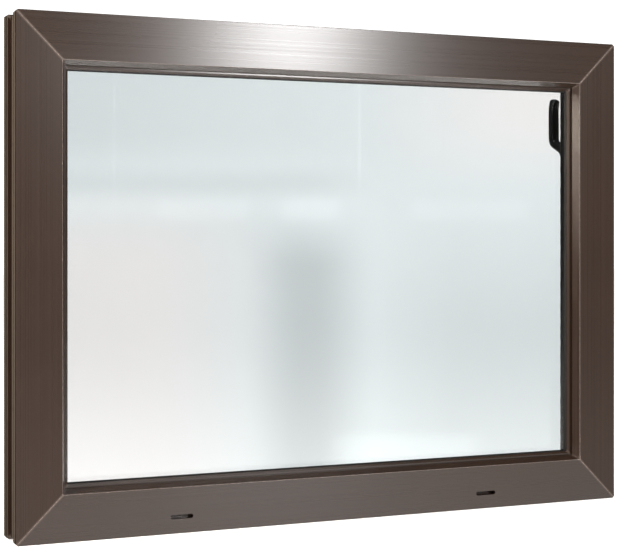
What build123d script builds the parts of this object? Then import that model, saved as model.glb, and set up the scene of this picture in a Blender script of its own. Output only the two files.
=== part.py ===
from build123d import *
from math import atan, cos, pi, radians, sin, sqrt, tan
import os

# Bottom-hung utility window in plastic: a welded hollow outer frame, a slim glazed
# sash that tilts into the room, and a cranked handle that drives three cams.
# X runs across (0 at mid width), Y runs from the outside face (0) into the room,
# Z runs up from the underside of the sill. Sections are drawn as (depth, inset):
# depth is along Y, and inset is measured inwards from the frame's outer edge.

# ---- overall sizes ----
WIDTH = 800.0
HEIGHT = 600.0
FRAME_DEPTH = 62.0

# ---- outer frame section ----
FACE_WIDTH = 54.0  # visible outside face
REVEAL_INSET = 5.0  # how far the slanted reveal leans in over the front leg
LEG_DEPTH = 12.0  # thickness of the leg that the sash closes against
REBATE_BASE = 16.0  # inset of the surface round the sash
WALL = 2.8  # plastic wall
CORNER_CUT = 3.0  # weld-cleaned corner of frame and sash
RECESS = 4.0  # shallow recess round the perimeter
RECESS_END = 37.0
RIB_FROM = 18.0
RIB_TO = 21.0
RIB_INSET = 2.5
CLIP_GROOVE_FROM = 39.0
CLIP_GROOVE_TO = 43.0
CLIP_GROOVE_INSET = 7.0
REAR_LAND = 1.0
NOTCH_FROM = 50.5
NOTCH_TO = 52.5
SEAL_GROOVE_WIDTH = 3.2
SEAL_GROOVE_DEPTH = 2.5
SEAL_GROOVE_FROM_EDGE = 5.5  # from the leg's inner edge to the groove's far side
EDGE_ROUND = 0.6

# ---- drain slots and wall fixings ----
DRAIN_LENGTH = 28.0
DRAIN_WIDTH = 5.0
DRAIN_HEIGHT = 19.5
DRAIN_FROM_END = 196.0
INNER_DRAIN_FROM_END = 70.0
FIXING_RADIUS = 3.5
FIXING_DEPTH = 27.0
FIXING_FROM_END = 150.0

# ---- sash section ----
CLOSING_GAP = 2.5  # frame leg to sash, where the closing seal sits
SIDE_GAP = 8.0  # rebate base to sash edge
SASH_DEPTH = 36.0
LIP_COVER = 18.0  # glazing floor to the edge of the outside lip
LIP_SLANT = 3.0
LIP_THICKNESS = 3.5
SASH_HEIGHT = 22.0  # sash edge to the floor of the glazing rebate
GROOVE_WIDTH = 12.0
GROOVE_SHOULDER = 16.0
SHOULDER_DEPTH = 2.2
GROOVE_DEPTH = 9.0
GROOVE_BACK = 11.5  # groove centre to the sash's room face
BEAD_CLIP_DEPTH = 1.5
BEAD_CLIP_WIDTH = 2.0
BEAD_CLIP_FROM_FACE = 4.0

# ---- glass ----
PANE = 4.0
CAVITY = 12.0
OUTER_GASKET = 2.5
INNER_GASKET = 3.0
GLASS_PLAY = 4.0  # glazing floor to glass edge, filled by the blocks
SPACER_HEIGHT = 6.5
SPACER_COVER = 11.0  # glass edge to the spacer's inner face
SPACER_WALL = 0.7
GASKET_PROUD = 1.0
GASKET_HEIGHT = 7.0
BEAD_COVER = 4.8  # glass edge to the top of the bead
BEAD_SLOPE = 4.0
BLOCK_LENGTH = 100.0
BLOCK_FROM_CORNER = 60.0

# ---- steel in the sash ----
STEEL_WALL = 1.5
STEEL_SIDE_PLAY = 0.3
STEEL_END_PLAY = 6.0

# ---- tilt hinges ----
HINGE_FROM_END = 130.0
HINGE_LENGTH = 60.0
HINGE_PIN_RADIUS = 2.5
KNUCKLE_RADIUS = 4.0
HINGE_PLATE = 2.0
HINGE_LEAF_HEIGHT = 21.0
HINGE_FOOT_DEPTH = 22.0
KNUCKLE_GAP = 0.4
PIN_HEAD_RADIUS = 3.6
PIN_HEAD = 1.5
KNUCKLE_LIFT = 6.5  # rebate base to pin centre

# ---- side stays ----
STAY_PIVOT_HEIGHT = 80.0
STAY_PIVOT_DEPTH = 50.0
STAY_RISE = 320.0  # pivot to stud
STAY_STUD_DEPTH = 24.0
STAY_WIDTH = 14.0
STAY_THICKNESS = 2.5
STAY_STUD_RADIUS = 3.0
STAY_SLOT_PLAY = 0.6
STAY_SLOT_RUN = 5.0
STAY_FOOT_LENGTH = 44.0
STAY_FOOT_WIDTH = 16.0
STAY_FOOT_THICKNESS = 2.0
STAY_HEAD_RADIUS = 5.0
STAY_HEAD = 1.0

# ---- espagnolette ----
HANDLE_FROM_TOP = 150.0
BACKSET = 11.5  # sash edge to the spindle
TOOTH_MODULE = 1.0
TEETH = 14
BACKLASH = 0.30
ROD_WIDTH = 6.0
ROD_THICKNESS = 1.2
ROD_PLAY = 0.3
FACEPLATE_THICKNESS = 2.0
FACEPLATE_PLAY = 0.15
CAM_SIDE_FROM_TOP = 75.0
CAM_TOP_FROM_RIGHT = 200.0
CAM_TOP_FROM_LEFT = 140.0
CAM_RADIUS = 4.0
CAM_STEM_RADIUS = 2.5
CAM_PLAY = 0.4
FACEPLATE_BELOW_HANDLE = 110.0
CORNER_LEG = 76.0
BAND_RADIUS = 12.0
CASE_HALF_LENGTH = 28.0
CASE_WALL = 2.0
CASE_PLAY = 0.3
POCKET_WALL = 1.2  # plastic left between the lock pocket and the glazing rebate
ADDENDUM = 0.8  # stub teeth, as a share of the module
DEDENDUM = 1.0
HUB_RADIUS = 5.7
RUNNING_FIT = 0.05
STRIKER_PLATE = 2.0
STRIKER_LIP = 2.5
STRIKER_LIP_REACH = 4.4

# ---- handle ----
ROSETTE_WIDTH = 22.0
ROSETTE_HEIGHT = 62.0
ROSETTE_THICKNESS = 7.0
ROSETTE_SHELL = 1.5
ROSETTE_BASE_THICKNESS = 4.0
HANDLE_SCREW_SPACING = 43.0
SPINDLE = 7.0
COLLAR_RADIUS = 7.4
LEVER_HUB_RADIUS = 8.5
LEVER_HUB_LENGTH = 8.0
LEVER_WIDTH = 12.5
LEVER_THICKNESS = 11.0
LEVER_ROUND = 4.0
LEVER_ROOT = 11.0  # sash room face to the start of the lever's centre line
GRIP_STANDOFF = 43.5  # sash room face to the grip's centre line
GRIP_FROM = 23.5  # above the pivot
GRIP_TO = 83.0
NECK_STANDOFF = 19.5
NECK_RISE = 12.0
TIP_HOOK = 3.0
TIP_HOOK_HEIGHT = 13.0

# ---- screws ----
SCREW_RADIUS = 2.0
SCREW_HEAD_RADIUS = 3.8
SCREW_HEAD = 1.8
SCREW_LENGTH = 13.0
SCREW_FIT = 0.05

# ---- derived planes ----
SASH_FRONT = LEG_DEPTH + CLOSING_GAP
SASH_BACK = SASH_FRONT + SASH_DEPTH
SASH_EDGE = REBATE_BASE + SIDE_GAP
GLASS_FLOOR = SASH_EDGE + SASH_HEIGHT
SASH_LIP = GLASS_FLOOR + LIP_COVER
GLASS_INSET = GLASS_FLOOR + GLASS_PLAY
SPACER_INSET = GLASS_INSET + SPACER_COVER
BEAD_INSET = GLASS_INSET + BEAD_COVER
HANDLE_INSET = SASH_EDGE + BACKSET
HANDLE_HEIGHT = HEIGHT - HANDLE_FROM_TOP
CAM_SIDE_HEIGHT = HEIGHT - CAM_SIDE_FROM_TOP
CAM_TOP_PLACES = (WIDTH / 2 - CAM_TOP_FROM_RIGHT, CAM_TOP_FROM_LEFT - WIDTH / 2)
FACEPLATE_SIDE_FROM = HANDLE_HEIGHT - FACEPLATE_BELOW_HANDLE
STAY_STUD_HEIGHT = STAY_PIVOT_HEIGHT + STAY_RISE
LIP_BACK = SASH_FRONT + LIP_THICKNESS
GLASS_FRONT = LIP_BACK + OUTER_GASKET
CAVITY_FRONT = GLASS_FRONT + PANE
CAVITY_BACK = CAVITY_FRONT + CAVITY
GLASS_BACK = CAVITY_BACK + PANE
BEAD_FRONT = GLASS_BACK + INNER_GASKET
GROOVE_AXIS = SASH_BACK - GROOVE_BACK
GROOVE_FLOOR = SASH_EDGE + GROOVE_DEPTH
FACEPLATE_BACK = SASH_EDGE + FACEPLATE_THICKNESS
ROD_FRONT = FACEPLATE_BACK + ROD_PLAY
ROD_BACK = ROD_FRONT + ROD_THICKNESS
PITCH_RADIUS = TOOTH_MODULE * TEETH / 2
TIP_RADIUS = PITCH_RADIUS + ADDENDUM * TOOTH_MODULE
RACK_TIP = HANDLE_INSET - PITCH_RADIUS + ADDENDUM * TOOTH_MODULE
ROD_TRAVEL = PITCH_RADIUS * pi / 2
LEG_EDGE = FACE_WIDTH + REVEAL_INSET
HINGE_AXIS_DEPTH = SASH_BACK + KNUCKLE_RADIUS
HINGE_AXIS_HEIGHT = REBATE_BASE + KNUCKLE_LIFT
HANDLE_X = WIDTH / 2 - HANDLE_INSET
FAR = 2 * (WIDTH + HEIGHT)

TURN = {"sill": 0, "head": 180, "left": 90, "right": -90}
SHIFT = {
    "sill": (0, 0, 0),
    "head": (0, 0, HEIGHT),
    "left": (-WIDTH / 2, 0, HEIGHT / 2),
    "right": (WIDTH / 2, 0, HEIGHT / 2),
}
SIDES = ("head", "sill", "left", "right")


def side_length(side):
    """Outer length of one side of the frame."""
    return WIDTH if side in ("sill", "head") else HEIGHT


def on_side(shape, side):
    """Turn a shape drawn on the sill (inset up, length along X) to its own side."""
    return Pos(*SHIFT[side]) * (Rot(0, TURN[side], 0) * shape)


def along(side, place):
    """Where a place (X on sill and head, Z on the jambs) lies along a shape drawn on the sill."""
    return {
        "sill": place,
        "head": -place,
        "left": HEIGHT / 2 - place,
        "right": place - HEIGHT / 2,
    }[side]


def outline(points, rounded=(), radius=EDGE_ROUND):
    """Face through (depth, inset) points, with the rounded ones filleted."""
    face = make_face(Polyline(*points, close=True))
    picked = [
        v for v in face.vertices() if any(abs(v.X - d) < 1e-6 and abs(v.Y - s) < 1e-6 for d, s in rounded)
    ]
    return fillet(picked, radius) if picked else face


def rectangle(depth_from, depth_to, inset_from, inset_to):
    """Rectangular face between two depths and two insets."""
    return outline(
        [(depth_from, inset_from), (depth_to, inset_from), (depth_to, inset_to), (depth_from, inset_to)]
    )


def bar(face, start, end):
    """Extrude a (depth, inset) face along X from start to end."""
    return Pos(start, 0, 0) * extrude(Plane.YZ * face, amount=end - start)


def mitre(side, base=0.0, cut=0.0, short=0.0):
    """Prism between a side's two mitre planes, from its base inset, with its outer corners cut."""
    half = side_length(side) / 2 - short
    reach = min(WIDTH, HEIGHT) / 2 - short - 1
    low = base - short
    ends = [(half - low - cut, base), (half - low - cut / 2, base + cut / 2)] if cut else [(half - low, base)]
    ends.append((half - reach, reach + short))
    points = ends + [(-x, z) for x, z in reversed(ends)]
    return extrude(Plane.XZ * make_face(Polyline(*points, close=True)), amount=FAR, both=True)


def mitred(face, side, base=0.0, cut=0.0, short=0.0):
    """One side's mitred length of a section, drawn on the sill."""
    length = side_length(side)
    return bar(face, -length / 2, length / 2) & mitre(side, base, cut, short)


def ring(face, base):
    """Four mitred strips of one section, each a solid of its own."""
    return [on_side(mitred(face, side, base), side) for side in SIDES]


def box(x0, x1, y0, y1, z0, z1):
    """Box between two corners."""
    return Pos((x0 + x1) / 2, (y0 + y1) / 2, (z0 + z1) / 2) * Box(abs(x1 - x0), abs(y1 - y0), abs(z1 - z0))


def rod_x(x0, x1, y, z, radius):
    """Round bar along X."""
    return Pos((x0 + x1) / 2, y, z) * Rot(0, 90, 0) * Cylinder(radius, abs(x1 - x0))


def rod_y(x, y0, y1, z, radius):
    """Round bar along Y."""
    return Pos(x, (y0 + y1) / 2, z) * Rot(90, 0, 0) * Cylinder(radius, abs(y1 - y0))


def rod_z(x, y, z0, z1, radius):
    """Round bar along Z."""
    return Pos(x, y, (z0 + z1) / 2) * Cylinder(radius, abs(z1 - z0))


def group(shapes):
    """Separate solids kept together as one sub-part."""
    return Compound(children=[solid for shape in shapes for solid in shape.solids()])


def save(name, shape):
    """Write one sub-part."""
    export_step(shape, f"parts/{name}.step")


# ---- screws -----------------------------------------------------------------


def screw(length=SCREW_LENGTH):
    """Countersunk screw along Z, its head flush at z = 0 and its point down."""
    shank = rod_z(0, 0, -length, -SCREW_HEAD / 2, SCREW_RADIUS)
    head = Pos(0, 0, -SCREW_HEAD / 2) * Cone(SCREW_RADIUS, SCREW_HEAD_RADIUS, SCREW_HEAD)
    slot = box(-SCREW_HEAD_RADIUS, SCREW_HEAD_RADIUS, -0.4, 0.4, -0.8, 1)
    return shank + head - slot


def screw_room(length=SCREW_LENGTH):
    """The hole that a screw fills, drawn like the screw."""
    grown = SCREW_FIT
    shank = rod_z(0, 0, -length - grown, -SCREW_HEAD / 2, SCREW_RADIUS + grown)
    head = Pos(0, 0, -SCREW_HEAD / 2) * Cone(SCREW_RADIUS + grown, SCREW_HEAD_RADIUS + grown, SCREW_HEAD)
    return shank + head + rod_z(0, 0, 0, 1, SCREW_HEAD_RADIUS + grown)


def screws_at(places):
    """Screws and their holes at a list of locations."""
    screws = [place * screw() for place in places]
    holes = [place * screw_room() for place in places]
    return screws, holes


# ---- where things are fixed -------------------------------------------------


def hinge_places():
    """X of the two hinges."""
    return {"left": HINGE_FROM_END - WIDTH / 2, "right": WIDTH / 2 - HINGE_FROM_END}


def frame_hinge_screw_places():
    """Down through each hinge's foot into the sill."""
    depth = HINGE_AXIS_DEPTH + KNUCKLE_RADIUS - HINGE_FOOT_DEPTH + SCREW_HEAD_RADIUS + 2
    z = REBATE_BASE + HINGE_PLATE
    return [
        Pos(x + dx, depth, z) for x in hinge_places().values() for dx in (-HINGE_LENGTH / 3, HINGE_LENGTH / 3)
    ]


def sash_hinge_screw_places():
    """Through each hinge's upright leaf into the sash's room face."""
    z = HINGE_AXIS_HEIGHT + HINGE_LEAF_HEIGHT - SCREW_HEAD_RADIUS - 3
    y = SASH_BACK + HINGE_PLATE
    return [
        Pos(x + dx, y, z) * Rot(-90, 0, 0)
        for x in hinge_places().values()
        for dx in (-HINGE_LENGTH / 3, HINGE_LENGTH / 3)
    ]


def cam_places():
    """(side, place along the side as drawn on the sill) of each cam with the sash unlocked."""
    return [("right", along("right", CAM_SIDE_HEIGHT))] + [("head", along("head", x)) for x in CAM_TOP_PLACES]


def striker_span(place):
    """Start and end of a striker's plate along its side."""
    return place - CAM_RADIUS - 14, place + ROD_TRAVEL + CAM_RADIUS + 14


def striker_screw_places():
    """(side, location drawn on the sill) of the screws through each striker."""
    found = []
    for side, place in cam_places():
        start, end = striker_span(place)
        for t in (start + SCREW_HEAD_RADIUS + 2, end - SCREW_HEAD_RADIUS - 2):
            found.append((side, Pos(t, GROOVE_AXIS, REBATE_BASE + STRIKER_PLATE)))
    return found


def stay_screw_places():
    """(side, location drawn on the sill) of the screws through each stay's foot."""
    found = []
    for side in ("left", "right"):
        middle = along(side, STAY_PIVOT_HEIGHT)
        for dt in (-1, 1):
            t = middle + dt * (STAY_FOOT_LENGTH / 2 - SCREW_HEAD_RADIUS - 2)
            found.append((side, Pos(t, STAY_PIVOT_DEPTH, REBATE_BASE + STAY_FOOT_THICKNESS)))
    return found


def faceplate_screw_places():
    """(side, location drawn on the sill) of the screws that hold the faceplates in the groove."""
    head_end = along("head", min(CAM_TOP_PLACES)) + ROD_TRAVEL + 24
    return [
        ("right", Pos(along("right", FACEPLATE_SIDE_FROM + 8), GROOVE_AXIS, SASH_EDGE)),
        ("head", Pos(head_end, GROOVE_AXIS, SASH_EDGE)),
    ]


def faceplate_screw():
    """Short screw upwards from the groove face, drawn on the sill."""
    return Rot(180, 0, 0) * screw()


# ---- outer frame ------------------------------------------------------------


def frame_face():
    """Section of the frame, with its chambers."""
    groove_top = LEG_EDGE - SEAL_GROOVE_FROM_EDGE + SEAL_GROOVE_WIDTH
    groove_low = LEG_EDGE - SEAL_GROOVE_FROM_EDGE
    groove_back = LEG_DEPTH - SEAL_GROOVE_DEPTH
    corners = [(0, FACE_WIDTH), (LEG_DEPTH, LEG_EDGE), (FRAME_DEPTH, REBATE_BASE), (FRAME_DEPTH, REAR_LAND), (0, 0)]
    profile = outline(
        [
            (0, 0),
            (0, FACE_WIDTH),
            (LEG_DEPTH, LEG_EDGE),
            (LEG_DEPTH, groove_top),
            (groove_back, groove_top),
            (groove_back, groove_low),
            (LEG_DEPTH, groove_low),
            (LEG_DEPTH, REBATE_BASE),
            (FRAME_DEPTH, REBATE_BASE),
            (FRAME_DEPTH, REAR_LAND),
            (NOTCH_TO, REAR_LAND),
            (NOTCH_TO, RIB_INSET),
            (NOTCH_FROM, RIB_INSET),
            (NOTCH_FROM, REAR_LAND),
            (CLIP_GROOVE_TO, REAR_LAND),
            (CLIP_GROOVE_TO, CLIP_GROOVE_INSET),
            (CLIP_GROOVE_FROM, CLIP_GROOVE_INSET),
            (CLIP_GROOVE_FROM, RECESS),
            (RECESS_END - 2, RECESS),
            (RIB_TO, RECESS),
            (RIB_TO, RIB_INSET),
            (RIB_FROM, RIB_INSET),
            (RIB_FROM, RECESS),
            (LEG_DEPTH, RECESS),
            (LEG_DEPTH, 0),
        ],
        corners,
    )
    base = REBATE_BASE - WALL
    leg = rectangle(WALL, LEG_DEPTH - WALL, REBATE_BASE + 1, FACE_WIDTH - WALL)
    front = rectangle(WALL, CLIP_GROOVE_FROM - WALL, RECESS + WALL, base)
    rear = rectangle(CLIP_GROOVE_TO + WALL, FRAME_DEPTH - WALL, RIB_INSET + WALL, base)
    return profile - leg - front - rear


def drain(offset, depth_from, depth_to):
    """Slot with round ends through a wall of the sill."""
    slot = extrude(Plane.XZ * SlotOverall(DRAIN_LENGTH, DRAIN_WIDTH), amount=depth_from - depth_to)
    return Pos(offset, depth_from, DRAIN_HEIGHT) * slot


def drains():
    """Outer drain slots, and the inner ones that feed them from the rebate."""
    outer_x = WIDTH / 2 - DRAIN_FROM_END
    inner_x = WIDTH / 2 - INNER_DRAIN_FROM_END
    outer = [drain(x, -1, WALL + 1) for x in (-outer_x, outer_x)]
    inner = [drain(x, LEG_DEPTH - WALL - 1, LEG_DEPTH + 1) for x in (-inner_x, inner_x)]
    return outer + inner


def fixing_holes():
    """Holes for wall screws, along the inset direction as drawn on the sill."""
    middle = HEIGHT / 2 - FIXING_FROM_END
    return [rod_z(t, FIXING_DEPTH, -1, REBATE_BASE + 1, FIXING_RADIUS) for t in (-middle, middle)]


def frame_member(side):
    """One mitred length of the frame with everything cut into it."""
    member = mitred(frame_face(), side, cut=CORNER_CUT)
    if side in ("left", "right"):
        member = member - fixing_holes()
    for at, place in striker_screw_places() + stay_screw_places():
        if at == side:
            member = member - place * screw_room()
    member = on_side(member, side)
    if side == "sill":
        member = member - drains()
        member = member - [place * screw_room() for place in frame_hinge_screw_places()]
    return member


def frame_gasket():
    """Closing seal: a foot in the leg's groove and a soft lip that the sash meets."""
    low = LEG_EDGE - SEAL_GROOVE_FROM_EDGE
    tip = SASH_FRONT - 0.3
    play = 0.1
    foot = LEG_DEPTH - SEAL_GROOVE_DEPTH + play
    face = outline(
        [
            (foot, low + play),
            (LEG_DEPTH, low + play),
            (tip, low + 1.0),
            (tip, low + 2.6),
            (LEG_DEPTH, low + SEAL_GROOVE_WIDTH - play),
            (foot, low + SEAL_GROOVE_WIDTH - play),
        ]
    )
    return ring(face, low)


# ---- sash -------------------------------------------------------------------


def groove_edges():
    """Depths of the hardware groove: shoulder from and to, then groove from and to."""
    return (
        GROOVE_AXIS - GROOVE_SHOULDER / 2,
        GROOVE_AXIS + GROOVE_SHOULDER / 2,
        GROOVE_AXIS - GROOVE_WIDTH / 2,
        GROOVE_AXIS + GROOVE_WIDTH / 2,
    )


def steel_chamber():
    """Depths and insets of the chamber that holds the steel."""
    return SASH_FRONT + WALL, groove_edges()[0] - 1.8, SASH_EDGE + WALL, GLASS_FLOOR - WALL


def sash_face():
    """Section of the sash, with its chambers."""
    shoulder_from, shoulder_to, groove_from, groove_to = groove_edges()
    shoulder = SASH_EDGE + SHOULDER_DEPTH
    clip_to = SASH_BACK - BEAD_CLIP_FROM_FACE + BEAD_CLIP_WIDTH / 2
    clip_from = clip_to - BEAD_CLIP_WIDTH
    corners = [(SASH_BACK, SASH_EDGE), (LIP_BACK, SASH_LIP), (SASH_BACK, GLASS_FLOOR)]
    profile = outline(
        [
            (SASH_FRONT, SASH_EDGE),
            (SASH_FRONT, SASH_LIP - LIP_SLANT),
            (LIP_BACK, SASH_LIP),
            (LIP_BACK, GLASS_FLOOR),
            (clip_from, GLASS_FLOOR),
            (clip_from, GLASS_FLOOR - BEAD_CLIP_DEPTH),
            (clip_to, GLASS_FLOOR - BEAD_CLIP_DEPTH),
            (clip_to, GLASS_FLOOR),
            (SASH_BACK, GLASS_FLOOR),
            (SASH_BACK, SASH_EDGE),
            (shoulder_to, SASH_EDGE),
            (shoulder_to, shoulder),
            (groove_to, shoulder),
            (groove_to, GROOVE_FLOOR),
            (groove_from, GROOVE_FLOOR),
            (groove_from, shoulder),
            (shoulder_from, shoulder),
            (shoulder_from, SASH_EDGE),
        ],
        corners,
    )
    steel = rectangle(*steel_chamber())
    back = rectangle(groove_from, SASH_BACK - WALL, GROOVE_FLOOR + WALL, GLASS_FLOOR - WALL)
    return profile - steel - back


def lock_pocket():
    """Milled room for the gearbox, its spindle and its screws in the right stile."""
    _, _, groove_from, groove_to = groove_edges()
    half = CASE_HALF_LENGTH + CASE_PLAY
    right = WIDTH / 2
    pocket = box(
        right - GLASS_FLOOR + POCKET_WALL,
        right - SASH_EDGE,
        groove_from,
        groove_to,
        HANDLE_HEIGHT - half,
        HANDLE_HEIGHT + half,
    )
    spindle = rod_y(HANDLE_X, GROOVE_AXIS, SASH_BACK + 1, HANDLE_HEIGHT, HUB_RADIUS + 1)
    screws = [
        rod_y(HANDLE_X, GROOVE_AXIS, SASH_BACK + 1, HANDLE_HEIGHT + dz, SCREW_RADIUS + 0.6)
        for dz in (-HANDLE_SCREW_SPACING / 2, HANDLE_SCREW_SPACING / 2)
    ]
    return [pocket, spindle] + screws


def stay_stud(side):
    """Stud in the sash's edge that runs in the stay's slot, drawn on the sill."""
    t = along(side, STAY_STUD_HEIGHT)
    top = REBATE_BASE + STAY_FOOT_THICKNESS + 0.3
    shank = rod_z(t, STAY_STUD_DEPTH, top, SASH_EDGE + 8, STAY_STUD_RADIUS)
    flange_low = top + STAY_THICKNESS + 0.6
    return shank + rod_z(t, STAY_STUD_DEPTH, flange_low, SASH_EDGE, STAY_STUD_RADIUS + 2)


def stay_stud_room(side):
    """Hole for the stud's shank, drawn on the sill."""
    t = along(side, STAY_STUD_HEIGHT)
    return rod_z(t, STAY_STUD_DEPTH, SASH_EDGE - 1, SASH_EDGE + 8 + SCREW_FIT, STAY_STUD_RADIUS + SCREW_FIT)


def sash_member(side):
    """One mitred length of the sash with everything cut into it."""
    member = mitred(sash_face(), side, SASH_EDGE, CORNER_CUT)
    for at, place in faceplate_screw_places():
        if at == side:
            member = member - place * Rot(180, 0, 0) * screw_room()
    if side in ("left", "right"):
        member = member - stay_stud_room(side)
    member = on_side(member, side)
    if side == "sill":
        member = member - [place * screw_room() for place in sash_hinge_screw_places()]
    if side == "right":
        member = member - lock_pocket()
    return member


def sash_steel(side):
    """Steel box in one side of the sash, cut square short of the corners."""
    depth_from, depth_to, inset_from, inset_to = steel_chamber()
    play = STEEL_SIDE_PLAY
    outer = rectangle(depth_from + play, depth_to - play, inset_from + play, inset_to - play)
    grown = play + STEEL_WALL
    inner = rectangle(depth_from + grown, depth_to - grown, inset_from + grown, inset_to - grown)
    half = side_length(side) / 2 - inset_to - STEEL_END_PLAY
    steel = bar(outer - inner, -half, half)
    for at, place in faceplate_screw_places():
        if at == side:
            steel = steel - place * Rot(180, 0, 0) * screw_room()
    if side in ("left", "right"):
        steel = steel - stay_stud_room(side)
    return on_side(steel, side)


# ---- glazing ----------------------------------------------------------------


def pane(depth_from):
    """One pane of the insulating glass."""
    across = WIDTH / 2 - GLASS_INSET
    return box(-across, across, depth_from, depth_from + PANE, GLASS_INSET, HEIGHT - GLASS_INSET)


def spacer():
    """Hollow bar round the edge of the cavity."""
    low = SPACER_INSET - SPACER_HEIGHT
    outer = rectangle(CAVITY_FRONT, CAVITY_BACK, low, SPACER_INSET)
    inner = rectangle(
        CAVITY_FRONT + SPACER_WALL, CAVITY_BACK - SPACER_WALL, low + SPACER_WALL, SPACER_INSET - SPACER_WALL
    )
    return ring(outer - inner, low)


def edge_seal():
    """Sealant between the spacer and the panes' edges."""
    return ring(rectangle(CAVITY_FRONT, CAVITY_BACK, GLASS_INSET, SPACER_INSET - SPACER_HEIGHT), GLASS_INSET)


def outer_glazing_gasket():
    """Gasket between the sash's lip and the glass, standing a little proud of the lip."""
    top = SASH_LIP + GASKET_PROUD
    face = outline(
        [
            (LIP_BACK, top - GASKET_HEIGHT),
            (GLASS_FRONT, top - GASKET_HEIGHT),
            (GLASS_FRONT, top),
            (LIP_BACK, top - 1.2),
        ]
    )
    return ring(face, top - GASKET_HEIGHT)


def inner_glazing_gasket():
    """Gasket between the glass and the beads."""
    return ring(rectangle(GLASS_BACK, BEAD_FRONT, BEAD_INSET - 6.0, BEAD_INSET), BEAD_INSET - 6.0)


def bead(side):
    """Glazing bead, its foot clipped into the sash's floor and its face sloped."""
    clip_to = SASH_BACK - BEAD_CLIP_FROM_FACE + BEAD_CLIP_WIDTH / 2 - 0.1
    clip_from = clip_to - BEAD_CLIP_WIDTH + 0.2
    foot = GLASS_FLOOR - BEAD_CLIP_DEPTH + 0.2
    back = SASH_BACK - 0.3
    face = outline(
        [
            (BEAD_FRONT, GLASS_FLOOR),
            (BEAD_FRONT, BEAD_INSET),
            (BEAD_FRONT + 1.0, BEAD_INSET),
            (back, BEAD_INSET - BEAD_SLOPE),
            (back, GLASS_FLOOR),
            (clip_to, GLASS_FLOOR),
            (clip_to, foot),
            (clip_from, foot),
            (clip_from, GLASS_FLOOR),
        ]
    )
    return on_side(mitred(face, side, foot), side)


def glazing_blocks():
    """Blocks that carry the glass off the sash's floor, two to a side."""
    blocks = []
    for side in SIDES:
        middle = side_length(side) / 2 - GLASS_INSET - BLOCK_FROM_CORNER - BLOCK_LENGTH / 2
        for t in (-middle, middle):
            block = bar(
                rectangle(GLASS_FRONT, GLASS_BACK, GLASS_FLOOR, GLASS_INSET),
                t - BLOCK_LENGTH / 2,
                t + BLOCK_LENGTH / 2,
            )
            blocks.append(on_side(block, side))
    return blocks


# ---- tilt hinges ------------------------------------------------------------


def knuckle(x0, x1, radius=KNUCKLE_RADIUS):
    """Round bar on the hinge's axis."""
    return rod_x(x0, x1, HINGE_AXIS_DEPTH, HINGE_AXIS_HEIGHT, radius)


def hinge_thirds(x):
    """X of the four planes that divide a hinge into its three knuckles."""
    half = HINGE_LENGTH / 2
    return x - half, x - half / 3, x + half / 3, x + half


def hinge_frame_leaf(x):
    """Foot on the sill's rebate with the middle knuckle, which grips the pin."""
    start, first, second, end = hinge_thirds(x)
    room = HINGE_AXIS_DEPTH + KNUCKLE_RADIUS
    foot = box(start, end, room - HINGE_FOOT_DEPTH, room, REBATE_BASE, REBATE_BASE + HINGE_PLATE)
    neck = box(
        first + KNUCKLE_GAP,
        second - KNUCKLE_GAP,
        HINGE_AXIS_DEPTH - KNUCKLE_RADIUS,
        room,
        REBATE_BASE,
        HINGE_AXIS_HEIGHT,
    )
    leaf = foot + neck + knuckle(first + KNUCKLE_GAP, second - KNUCKLE_GAP)
    leaf = leaf - knuckle(start, end, HINGE_PIN_RADIUS)
    return leaf - [place * screw_room() for place in frame_hinge_screw_places()]


def hinge_sash_leaf(x):
    """Upright leaf on the sash's room face with the two outer knuckles."""
    start, first, second, end = hinge_thirds(x)
    top = HINGE_AXIS_HEIGHT + HINGE_LEAF_HEIGHT
    clear = HINGE_AXIS_HEIGHT + KNUCKLE_RADIUS + 0.6
    leaf = box(start, end, SASH_BACK, SASH_BACK + HINGE_PLATE, HINGE_AXIS_HEIGHT, top)
    leaf = leaf + knuckle(start, first) + knuckle(second, end)
    leaf = leaf - box(first, second, SASH_BACK - 1, HINGE_AXIS_DEPTH + KNUCKLE_RADIUS + 1, 0, clear)
    leaf = leaf - knuckle(start - 1, end + 1, HINGE_PIN_RADIUS + RUNNING_FIT)
    return leaf - [place * screw_room() for place in sash_hinge_screw_places()]


def hinge_pin(x):
    """Pin through all three knuckles, with a small head at each end."""
    start, _, _, end = hinge_thirds(x)
    shaft = knuckle(start - KNUCKLE_GAP - PIN_HEAD, end + KNUCKLE_GAP + PIN_HEAD, HINGE_PIN_RADIUS)
    heads = [
        knuckle(start - KNUCKLE_GAP - PIN_HEAD, start - KNUCKLE_GAP, PIN_HEAD_RADIUS),
        knuckle(end + KNUCKLE_GAP, end + KNUCKLE_GAP + PIN_HEAD, PIN_HEAD_RADIUS),
    ]
    return shaft + heads


# ---- side stays -------------------------------------------------------------


def stay_levels():
    """Insets of the stay's foot, arm from, arm to and head."""
    foot = REBATE_BASE + STAY_FOOT_THICKNESS
    return foot, foot + 0.3, foot + 0.3 + STAY_THICKNESS, foot + 0.6 + STAY_THICKNESS


def stay_pivot(side):
    """Foot plate with the pivot that the stay's arm turns on."""
    foot, _, arm_to, head = stay_levels()
    t = along(side, STAY_PIVOT_HEIGHT)
    half = STAY_FOOT_LENGTH / 2
    width = STAY_FOOT_WIDTH / 2
    plate = box(t - half, t + half, STAY_PIVOT_DEPTH - width, STAY_PIVOT_DEPTH + width, REBATE_BASE, foot)
    post = rod_z(t, STAY_PIVOT_DEPTH, foot - 1, head, STAY_STUD_RADIUS)
    cap = rod_z(t, STAY_PIVOT_DEPTH, head, head + STAY_HEAD, STAY_HEAD_RADIUS)
    shape = plate + post + cap
    for at, place in stay_screw_places():
        if at == side:
            shape = shape - place * screw_room()
    return on_side(shape, side)


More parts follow.
